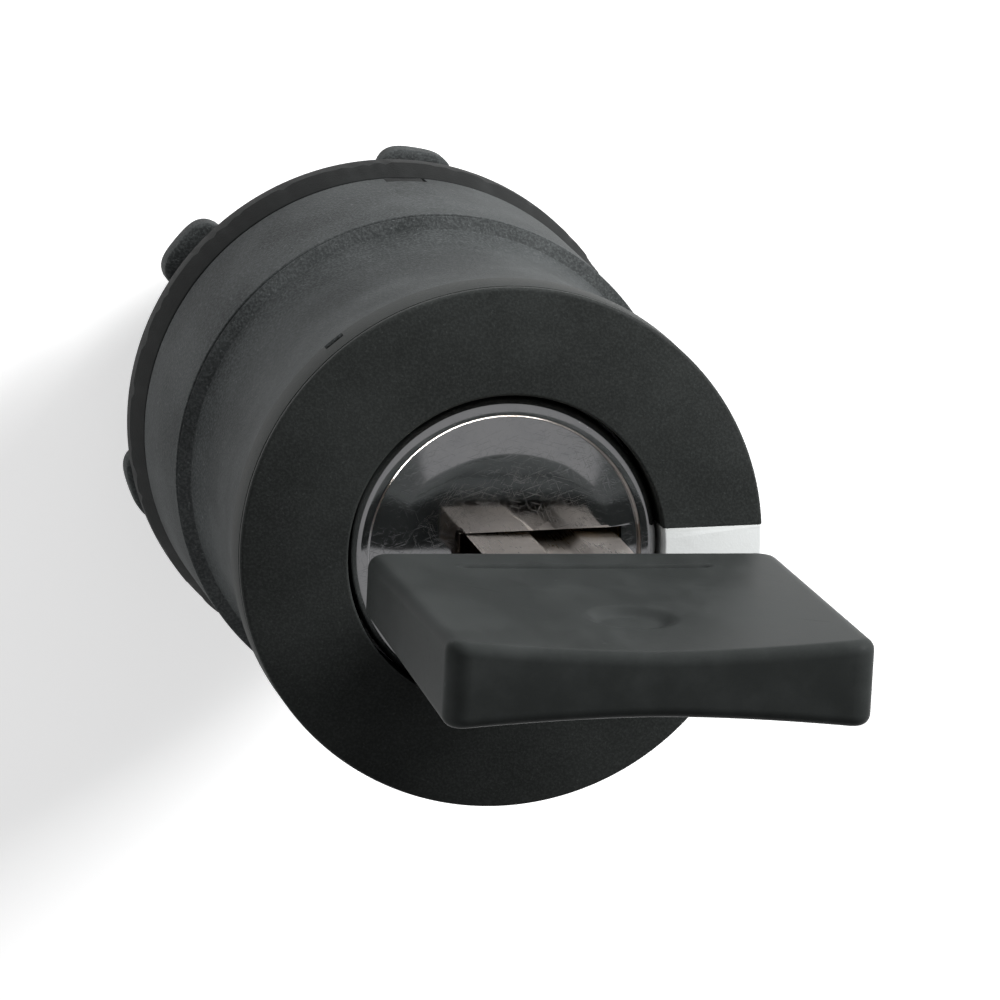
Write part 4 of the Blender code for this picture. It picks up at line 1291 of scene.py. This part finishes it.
@dataclass
class Front:
    """Turning face, its index mark and the polished cap of the lock."""

    face_r: float = 14.5 * MM
    face_z: float = 33.9 * MM
    rim_z: float = 34.9 * MM
    band_bottom: float = 31.1 * MM
    hole_r: float = 8.75 * MM
    spigot_r: float = 12.1 * MM
    spigot_bore_r: float = 10.6 * MM
    spigot_bottom: float = 28.5 * MM
    hub_bottom: float = 30.7 * MM
    line_top: float = 33.5 * MM
    line_w: float = 0.14 * MM
    line_depth: float = 0.16 * MM
    nick_turn: float = math.radians(130.5)
    nick_w: float = 1.2 * MM
    nick_h: float = 0.8 * MM
    mark_w: float = 3.0 * MM
    mark_shift: float = -0.13 * MM
    mark_depth: float = 1.4 * MM
    cap_r: float = 8.55 * MM
    cap_z: float = 34.4 * MM
    cap_edge: float = 0.75 * MM
    cap_t: float = 0.8 * MM
    cap_in_r: float = 8.0 * MM
    cap_bottom: float = 31.7 * MM
    slot_x: float = 2.0 * MM
    slot_w: float = 9.0 * MM
    slot_h: float = 2.4 * MM
    slot_turn: float = math.radians(2.6)

    def blank(self, name: str) -> bpy.types.Object:
        """Turn the whole face with its rounded edge and the fine line round its band.

        Args:
            name: The object's name.

        Returns:
            The whole face.
        """
        inner = self.face_r - self.line_depth
        corners = [
            (self.hole_r, self.rim_z, 0.14 * MM),
            (self.face_r, self.face_z, 0.3 * MM),
            (self.face_r, self.line_top, 0.02 * MM),
            (inner, self.line_top, 0.0),
            (inner, self.line_top - self.line_w, 0.0),
            (self.face_r, self.line_top - self.line_w, 0.02 * MM),
            (self.face_r, self.band_bottom, 0.1 * MM),
            (self.spigot_r, self.band_bottom, 0.05 * MM),
            (self.spigot_r, self.spigot_bottom, 0.15 * MM),
            (self.spigot_bore_r, self.spigot_bottom, 0.15 * MM),
            (self.spigot_bore_r, self.hub_bottom, 0.1 * MM),
            (self.hole_r, self.hub_bottom, 0.1 * MM),
        ]
        return turned(name, filleted(corners))

    def mark_space(self, clearance: float) -> bpy.types.Object:
        """Make the block that the index mark fills, larger by a clearance.

        Args:
            clearance: Room added on each side.

        Returns:
            The block.
        """
        half = self.mark_w / 2 + clearance
        floor = self.face_z - self.mark_depth - clearance
        low = (self.hole_r - MM, self.mark_shift - half, floor)
        high = (self.face_r + MM, self.mark_shift + half, self.rim_z + MM)
        return block("mark_space", low, high)

    def make_face(self) -> bpy.types.Object:
        """Cut the mark's slot and the nick in the rear edge out of the face.

        Returns:
            The face.
        """
        face = carve(self.blank("face"), self.mark_space(0.04 * MM))
        low = (self.face_r - 0.7 * MM, -self.nick_w / 2, self.band_bottom - MM)
        high = (self.face_r + MM, self.nick_w / 2, self.band_bottom + self.nick_h)
        nick = block("nick", low, high, 0.15 * MM)
        return carve(face, turn_about_axis(nick, self.nick_turn))

    def make_mark(self) -> bpy.types.Object:
        """Keep only the mark's part of a whole face.

        Returns:
            The mark.
        """
        mark = carve(self.blank("pointer"), self.mark_space(0.0), "INTERSECT")
        soften(mark, 0.04 * MM, 2, 55.0)
        return mark

    def make_cap(self) -> bpy.types.Object:
        """Turn the polished cap with its rolled rim, then cut the key slot with worn edges.

        Returns:
            The cap.
        """
        top, skirt = self.cap_z, self.cap_z - self.cap_t
        seam_r = self.cap_r - self.cap_edge
        rolled = filleted(
            [
                (seam_r - 0.7 * MM, top, 0.2 * MM),
                (self.cap_r - 0.1 * MM, top - 0.03 * MM, self.cap_edge),
                (self.cap_r, top - self.cap_edge * 1.6, 0.4 * MM),
                (self.cap_r, self.cap_bottom, 0.1 * MM),
                (self.cap_in_r, self.cap_bottom, 0.1 * MM),
                (self.cap_in_r, skirt, 0.2 * MM),
            ],
            10,
        )
        flat = [(self.cap_in_r * k / 8, top) for k in range(0, 7)]
        profile = flat + rolled + [(self.cap_in_r * k / 4, skirt) for k in (3, 2, 1, 0)]
        cap = turned("lock_front", profile)
        half_l, half_h = self.slot_w / 2, self.slot_h / 2
        slot = block(
            "slot", (-half_l, -half_h, self.cap_bottom - MM), (half_l, half_h, top + MM)
        )
        turn_about_axis(slot, self.slot_turn)
        slot.data.transform(Matrix.Translation((self.slot_x, 0.0, 0.0)))
        carve(cap, slot)
        soften(cap, 0.05 * MM, 2, 60.0)
        return cap

    def build(self, finishes: Finishes) -> None:
        """Make and dress the three pieces.

        Args:
            finishes: Materials by slot.
        """
        dress(smooth(self.make_face()), Slot.FACE, Body.ROTOR, finishes, "face_cap")
        dress(smooth(self.make_mark()), Slot.MARK, Body.ROTOR, finishes, "index_mark")
        dress(smooth(self.make_cap()), Slot.CHROME, Body.ROTOR, finishes, "plug_cap")


# ---- key ----


@dataclass
class Key:
    """Flat key: grooved, cut blade and a dished plastic grip."""

    shift: float = 2.0 * MM
    blade_w: float = 8.4 * MM
    blade_t: float = 1.8 * MM
    tip: float = 14.2 * MM
    blade_l: float = 27.3 * MM
    tang_l: float = 8.5 * MM
    tang_w: float = 6.0 * MM
    chamfer: float = 1.6 * MM
    first_cut: float = 16.4 * MM
    cut_pitch: float = 2.6 * MM
    cuts: tuple[float, ...] = (0.9 * MM, 0.5 * MM, 1.2 * MM, 0.7 * MM, 0.4 * MM)
    cut_flat: float = 0.3 * MM
    cut_slope: float = 0.7
    web: float = 0.45
    upper_groove: tuple[float, ...] = (-0.6 * MM, -0.1 * MM, 1.3 * MM, 2.0 * MM)
    lower_groove: tuple[float, ...] = (-1.2 * MM, -0.7 * MM, 0.7 * MM, 1.2 * MM)
    pocket_l: float = 9.3 * MM
    bow_back: float = 41.5 * MM
    bow_l: float = 22.2 * MM
    bow_w: float = 22.5 * MM
    bow_t: float = 4.8 * MM
    back_t: float = 3.5 * MM
    middle_t: float = 3.45 * MM
    corner: float = 1.2 * MM
    edge: float = 0.7 * MM
    dimple_r: float = 2.1 * MM
    dimple_depth: float = 0.4 * MM
    dimple_from_front: float = 7.8 * MM
    line_l: float = 13.4 * MM
    line_w: float = 0.62 * MM
    line_depth: float = 0.32 * MM
    line_from_back: float = 3.5 * MM

    def section(self) -> list[Point]:
        """Return the blade's cross-section, with a groove in each broad side.

        Returns:
            (x, y) points in order round the section.
        """
        t, w = self.blade_t / 2, self.blade_w / 2
        web = self.web * t
        a, b, c, d = self.upper_groove
        upper = [(-w, t), (a, t), (b, web), (c, web), (d, t), (w, t)]
        a, b, c, d = self.lower_groove
        lower = [(w, -t), (d, -t), (c, -web), (b, -web), (a, -t), (-w, -t)]
        return [(self.shift + x, y) for x, y in upper + lower]

    def outline(self) -> list[Point]:
        """Return the blade's outline as (x, height), with the cuts along +X.

        Returns:
            (x, height) points in order round the outline.
        """
        left, right = self.shift - self.blade_w / 2, self.shift + self.blade_w / 2
        shoulder, end = self.tip + self.blade_l - GAP, self.tip + self.blade_l + self.tang_l
        points = [(left + self.chamfer, self.tip), (right - self.chamfer, self.tip)]
        points.append((right, self.tip + self.chamfer))
        for i, depth in enumerate(self.cuts):
            middle = self.first_cut + i * self.cut_pitch
            wide = self.cut_flat + depth * self.cut_slope
            points += [(right, middle - wide), (right - depth, middle - self.cut_flat)]
            points += [(right - depth, middle + self.cut_flat), (right, middle + wide)]
        half = self.tang_w / 2
        points += [(right, shoulder), (self.shift + half, shoulder), (self.shift + half, end)]
        points += [(self.shift - half, end), (self.shift - half, shoulder), (left, shoulder)]
        return points + [(left, self.tip + self.chamfer)]

    def make_blade(self) -> bpy.types.Object:
        """Draw the grooved section along the axis, then trim it to the cut outline.

        Returns:
            The blade.
        """
        low, high = self.tip - MM, self.tip + self.blade_l + self.tang_l + MM
        blade = prism("blade", [(x, y, low) for x, y in self.section()], (0.0, 0.0, high - low))
        half = self.blade_t
        sheet = prism("outline", [(x, -half, z) for x, z in self.outline()], (0.0, 2 * half, 0.0))
        carve(blade, sheet, "INTERSECT")
        soften(blade, 0.08 * MM, 2, 25.0)
        return blade

    def across(self, height: float) -> float:
        """Return half the grip's width at a height, with its rounded plan corners.

        Args:
            height: Height along the switch's axis.

        Returns:
            Half the width there.
        """
        near = min(height - self.bow_back, self.bow_back + self.bow_l - height)
        drop = max(0.0, self.corner - near)
        return self.bow_w / 2 - self.corner + math.sqrt(max(0.0, self.corner**2 - drop**2))

    def from_edge(self, x: float, height: float) -> float:
        """Return the distance from the grip's outline, seen flat.

        Args:
            x: Distance from the grip's middle line.
            height: Height along the switch's axis.

        Returns:
            The distance, negative outside.
        """
        side = self.bow_w / 2 - abs(x)
        end = min(height - self.bow_back, self.bow_back + self.bow_l - height)
        if side < self.corner and end < self.corner:
            return self.corner - math.hypot(self.corner - side, self.corner - end)
        return min(side, end)

    def half_thickness(self, x: float, height: float, upper: bool) -> float:
        """Return half the grip's thickness at a place.

        Args:
            x: Distance from the grip's middle line.
            height: Height along the switch's axis.
            upper: True on the side with the dimple and the line.

        Returns:
            The half thickness, with rounded edges.
        """
        along = (height - self.bow_back) / self.bow_l
        spread = abs(x) / (self.bow_w / 2)
        front = self.middle_t + (self.bow_t - self.middle_t) * spread**1.7
        half = (self.back_t + (front - self.back_t) * along) / 2
        if upper:
            middle = self.bow_back + self.bow_l - self.dimple_from_front
            away = math.hypot(x, height - middle) / self.dimple_r
            half -= self.dimple_depth * ease(1.22 - away, 0.0, 0.5)
            beyond = max(0.0, abs(x) - self.line_l / 2 + self.line_w / 2)
            off = math.hypot(beyond, height - self.bow_back - self.line_from_back)
            half -= self.line_depth * ease(1.0 - off / (0.75 * self.line_w), 0.0, 0.8)
        near = min(self.edge, max(0.0, self.from_edge(x, height)))
        return half - self.edge + math.sqrt(max(0.0, self.edge**2 - (self.edge - near) ** 2))

    def rows(self) -> list[float]:
        """Return the heights of the grip's mesh rows, closer at its ends and round its line.

        Returns:
            The heights, in rising order.
        """
        ends = [self.corner * (1 - math.cos(k * math.pi / 20)) for k in range(0, 10)]
        rows = [self.bow_back + e for e in ends] + [self.bow_back + self.bow_l - e for e in ends]
        line = self.bow_back + self.line_from_back
        rows += [line + 0.07 * MM * k for k in range(-9, 10)]
        low, high = self.bow_back + self.corner, self.bow_back + self.bow_l - self.corner
        count = 90
        for k in range(count + 1):
            height = low + (high - low) * k / count
            if abs(height - line) > 0.68 * MM:
                rows.append(height)
        return sorted(rows)

    def columns(self) -> list[float]:
        """Return the shares of the half width for the mesh columns, closer at the sides.

        Returns:
            Shares from -1 to 1, in rising order.
        """
        fine = [1 - 0.05 * (1 - math.cos(k * math.pi / 16)) for k in range(0, 9)]
        inner = [0.95 * k / 56 for k in range(1, 56)]
        half = sorted(set(inner + fine))
        return [-s for s in reversed(half)] + [0.0] + half

    def make_grip(self) -> bpy.types.Object:
        """Build the grip from an upper and a lower skin that meet round its outline.

        Returns:
            The grip.
        """
        bm = bmesh.new()
        rows, columns = self.rows(), self.columns()
        skins = []
        for upper in (True, False):
            side = 1 if upper else -1
            skin = []
            for z in rows:
                half = self.across(z)
                line = []
                for share in columns:
                    x = share * half
                    y = side * self.half_thickness(x, z, upper)
                    line.append(bm.verts.new((self.shift + x, y, z)))
                skin.append(line)
            skins.append(skin)
            for one, two in zip(skin, skin[1:]):
                for k in range(len(columns) - 1):
                    bm.faces.new((one[k], one[k + 1], two[k + 1], two[k]))
        loops = []
        for skin in skins:
            loop = list(skin[0]) + [line[-1] for line in skin[1:]]
            loop += list(reversed(skin[-1]))[1:] + [line[0] for line in reversed(skin[1:-1])]
            loops.append(loop)
        count = len(loops[0])
        for k in range(count):
            j = (k + 1) % count
            bm.faces.new((loops[0][k], loops[0][j], loops[1][j], loops[1][k]))
        grip = add_object("grip", bm)
        half = self.tang_w / 2 + GAP
        depth = self.blade_t / 2 + GAP
        low = (self.shift - half, -depth, self.bow_back - MM)
        pocket = block("pocket", low, (self.shift + half, depth, self.bow_back + self.pocket_l))
        return carve(grip, pocket)

    def build(self, finishes: Finishes) -> None:
        """Make and dress the blade and the grip."""
        dress(smooth(self.make_blade()), Slot.NICKEL, Body.KEY, finishes, "key_blade")
        dress(smooth(self.make_grip(), 60.0), Slot.KEY, Body.KEY, finishes, "key_bow")


def ease(value: float, low: float, high: float) -> float:
    """Return 0 below low, 1 above high and a smooth rise between.

    Args:
        value: The value.
        low: Where the rise starts.
        high: Where it ends.

    Returns:
        A share from 0 to 1.
    """
    share = min(1.0, max(0.0, (value - low) / (high - low)))
    return share * share * (3 - 2 * share)


def prism(
    name: str, outline: Sequence[tuple[float, float, float]], along: tuple[float, float, float]
) -> bpy.types.Object:
    """Extend a flat outline along a vector.

    Args:
        name: The object's name.
        outline: Points of the outline.
        along: The extension.

    Returns:
        The closed prism.
    """
    bm = bmesh.new()
    near = [bm.verts.new(p) for p in outline]
    far = [bm.verts.new(Vector(p) + Vector(along)) for p in outline]
    count = len(outline)
    for k in range(count):
        j = (k + 1) % count
        bm.faces.new((near[k], near[j], far[j], far[k]))
    bm.faces.new(near)
    bm.faces.new(far)
    bmesh.ops.triangulate(bm, faces=[f for f in bm.faces if len(f.verts) > 4])
    return add_object(name, bm)


# ---- return springs ----


@dataclass
class ReturnSprings:
    """Coil springs round the plungers' stems."""

    wire_r: float = 0.18 * MM
    turns: float = 6.25
    closed_turns: float = 1.0
    closed_pitch: float = 0.22  # share of the open turns' pitch
    travel: float = 3.5 * MM
    steps: int = 36
    facets: int = 12

    def climb(self, turn: float) -> float:
        """Return the share of the height reached after some turns.

        Args:
            turn: Turns from the lower end.

        Returns:
            A share from 0 to 1, nearly level over the closed turns.
        """
        open_turns = self.turns - 2 * self.closed_turns
        whole = 2 * self.closed_turns * self.closed_pitch + open_turns
        first = min(turn, self.closed_turns) * self.closed_pitch
        middle = min(max(turn - self.closed_turns, 0.0), open_turns)
        last = max(turn - self.closed_turns - open_turns, 0.0) * self.closed_pitch
        return (first + middle + last) / whole

    def make(self, side: str) -> tuple[bpy.types.Object, float, Vector]:
        """Wind one spring inside the box of its frame node.

        Args:
            side: Which plunger it stands round, left or right.

        Returns:
            The spring, its free length, and the point that it stands on.
        """
        low, high = (Vector(corner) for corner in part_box(f"plunger_spring_{side}"))
        middle = (low + high) / 2
        coil_r = (high.x - low.x) / 2 - self.wire_r
        rise = high.z - low.z - 2 * self.wire_r
        bm = bmesh.new()
        rings = []
        count = int(self.turns * self.steps)
        for i in range(count + 1):
            turn = i / self.steps
            angle = 2 * math.pi * turn
            out = Vector((math.cos(angle), math.sin(angle), 0.0))
            height = low.z + self.wire_r + rise * self.climb(turn)
            centre = Vector((middle.x, middle.y, height)) + out * coil_r
            ring = []
            for j in range(self.facets):
                a = 2 * math.pi * j / self.facets
                spot = centre + out * (self.wire_r * math.cos(a))
                spot.z += self.wire_r * math.sin(a)
                ring.append(bm.verts.new(spot))
            rings.append(ring)
        for first, second in zip(rings, rings[1:]):
            for j in range(self.facets):
                k = (j + 1) % self.facets
                bm.faces.new((first[j], first[k], second[k], second[j]))
        bm.faces.new(rings[0][::-1])
        bm.faces.new(rings[-1])
        spring = smooth(add_object(f"return_spring_{side}", bm), 50.0)
        return spring, high.z - low.z, Vector((middle.x, middle.y, low.z))

    def build(self, finishes: Finishes) -> None:
        """Make both springs on the head and log the share of their free length left when pressed.

        Args:
            finishes: Materials by slot.
        """
        for side in ("left", "right"):
            spring, free, foot = self.make(side)
            dress(spring, Slot.STEEL, Body.HEAD, finishes, f"plunger_spring_{side}")
            keep = (free - self.travel) / free
            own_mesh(spring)
            log.info("%s: %.1f mm free, %.2f of it when pressed", spring.name, free / MM, keep)


# ---- inner pieces that keep their frame mesh ----


@dataclass
class InnerWorks:
    """Pieces inside the head, which keep the frame's shapes and get finishes."""

    record: dict[str, Any]
    nodes: dict[str, bpy.types.Object]

    def build(self, finishes: Finishes) -> None:
        """Give every node that still shows the finish of its slot.

        Args:
            finishes: Materials by slot.
        """
        slots = {entry["node"]: entry["material_slot"] for entry in self.record["subparts"]}
        for name, node in sorted(self.nodes.items()):
            if node.hide_render:
                continue
            material = finishes[Slot(slots[name])]
            if node.material_slots:
                for place in node.material_slots:
                    place.material = material
            else:
                node.data.materials.append(material)
            log.info("%s keeps its frame mesh, in %s", name, material.name)


# ---- stage ----


@dataclass(frozen=True)
class SoftBox:
    """A square soft light: where it hangs, its side in metres and its power in watts."""

    name: str
    at: tuple[float, float, float]
    side: float
    power: float


@dataclass
class Studio:
    """Pale floor, soft light and the camera."""

    boxes: tuple[SoftBox, ...] = (
        SoftBox("top_box", (0.14, 0.5, 0.0), 0.34, 1.1),
        SoftBox("left_box", (-0.5, -0.1, 0.08), 0.4, 0.8),
        SoftBox("front_box", (0.48, 0.44, 0.3), 0.3, 9.0),
    )
    aim: tuple[float, float, float] = (0.0, 0.0, 25.0 * MM)
    floor_z: float = -12.6 * MM
    floor_size: float = 6.0
    floor_glow: float = 0.5
    sky: tuple[Point, ...] = ((0.15, 0.42), (0.5, 0.23), (0.93, 0.27))
    sky_power: float = 0.8
    lens: float = 297.8
    eye: tuple[float, float, float] = (-96.6 * MM, 103.5 * MM, 460.1 * MM)
    right: tuple[float, float, float] = (0.97667, 0.0494, 0.20898)
    up: tuple[float, float, float] = (0.0, 0.97318, -0.23005)
    back: tuple[float, float, float] = (-0.21474, 0.22468, 0.95048)

    def make_floor(self) -> None:
        """Lay the floor under the head."""
        bm = bmesh.new()
        bmesh.ops.create_grid(bm, x_segments=8, y_segments=8, size=self.floor_size / 2)
        bmesh.ops.translate(bm, verts=bm.verts, vec=(0.0, 0.0, self.floor_z))
        floor = add_object("floor", bm)
        r = Recipe("pale floor")
        mottle = r.noise(r.place(), 60.0, 3.0, 0.5)
        colour = r.mix(mottle, (0.93, 0.93, 0.93), (0.96, 0.96, 0.96))
        white = (1.0, 1.0, 1.0, 1.0)
        r.finish(colour, 0.9, Emission_Strength=self.floor_glow, Emission_Color=white)
        floor.data.materials.append(r.material)

    def make_light(self, box: SoftBox) -> None:
        """Hang one square soft light, facing the aim point.

        Args:
            box: The light.
        """
        lamp = bpy.data.lights.new(box.name, "AREA")
        lamp.shape = "SQUARE"
        lamp.size = box.side
        lamp.energy = box.power
        obj = bpy.data.objects.new(box.name, lamp)
        bpy.context.scene.collection.objects.link(obj)
        direction = Vector(self.aim) - Vector(box.at)
        obj.location = box.at
        obj.rotation_mode = "QUATERNION"
        obj.rotation_quaternion = direction.to_track_quat("-Z", "Y")

    def make_world(self) -> None:
        """Surround the head with pale light, brighter low down."""
        world = bpy.data.worlds.new("studio")
        bpy.context.scene.world = world
        world.use_nodes = True
        tree = world.node_tree
        background = tree.nodes["Background"]
        place = tree.nodes.new("ShaderNodeTexCoord")
        split = tree.nodes.new("ShaderNodeSeparateXYZ")
        ramp = tree.nodes.new("ShaderNodeValToRGB")
        tree.links.new(place.outputs["Generated"], split.inputs[0])
        tree.links.new(split.outputs[2], ramp.inputs[0])
        tree.links.new(ramp.outputs[0], background.inputs[0])
        elements = ramp.color_ramp.elements
        for stop, (position, grey) in zip((elements[0], elements[1], elements.new(1.0)), self.sky):
            stop.position = position
            stop.color = (grey, grey, grey * 1.01, 1.0)
        background.inputs[1].default_value = self.sky_power

    def make_camera(self) -> None:
        """Set the camera before the head."""
        data = bpy.data.cameras.new("camera")
        data.lens = self.lens
        data.sensor_width = 36.0
        data.clip_start = 0.01
        data.clip_end = 20.0
        camera = bpy.data.objects.new("camera", data)
        bpy.context.scene.collection.objects.link(camera)
        axes = Matrix((self.right, self.up, self.back)).transposed().to_4x4()
        camera.matrix_world = Matrix.Translation(self.eye) @ axes
        bpy.context.scene.camera = camera

    def build(self) -> None:
        """Make the whole stage."""
        scene = bpy.context.scene
        scene.view_settings.view_transform = "Standard"
        scene.view_settings.look = "None"
        self.make_floor()
        self.make_world()
        for box in self.boxes:
            self.make_light(box)
        self.make_camera()


def main() -> None:
    """Build every sub-assembly in order, then the stage."""
    logging.basicConfig(level=logging.INFO, format="%(message)s")
    finishes = make_finishes()
    panel = PanelSide()
    panel.build(finishes)
    Fixing().build(finishes, panel)
    Neck().build(finishes)
    Front().build(finishes)
    Key().build(finishes)
    ReturnSprings().build(finishes)
    InnerWorks(frame["record"], frame["nodes"]).build(finishes)
    Studio().build()


if __name__ == "__main__":
    main()
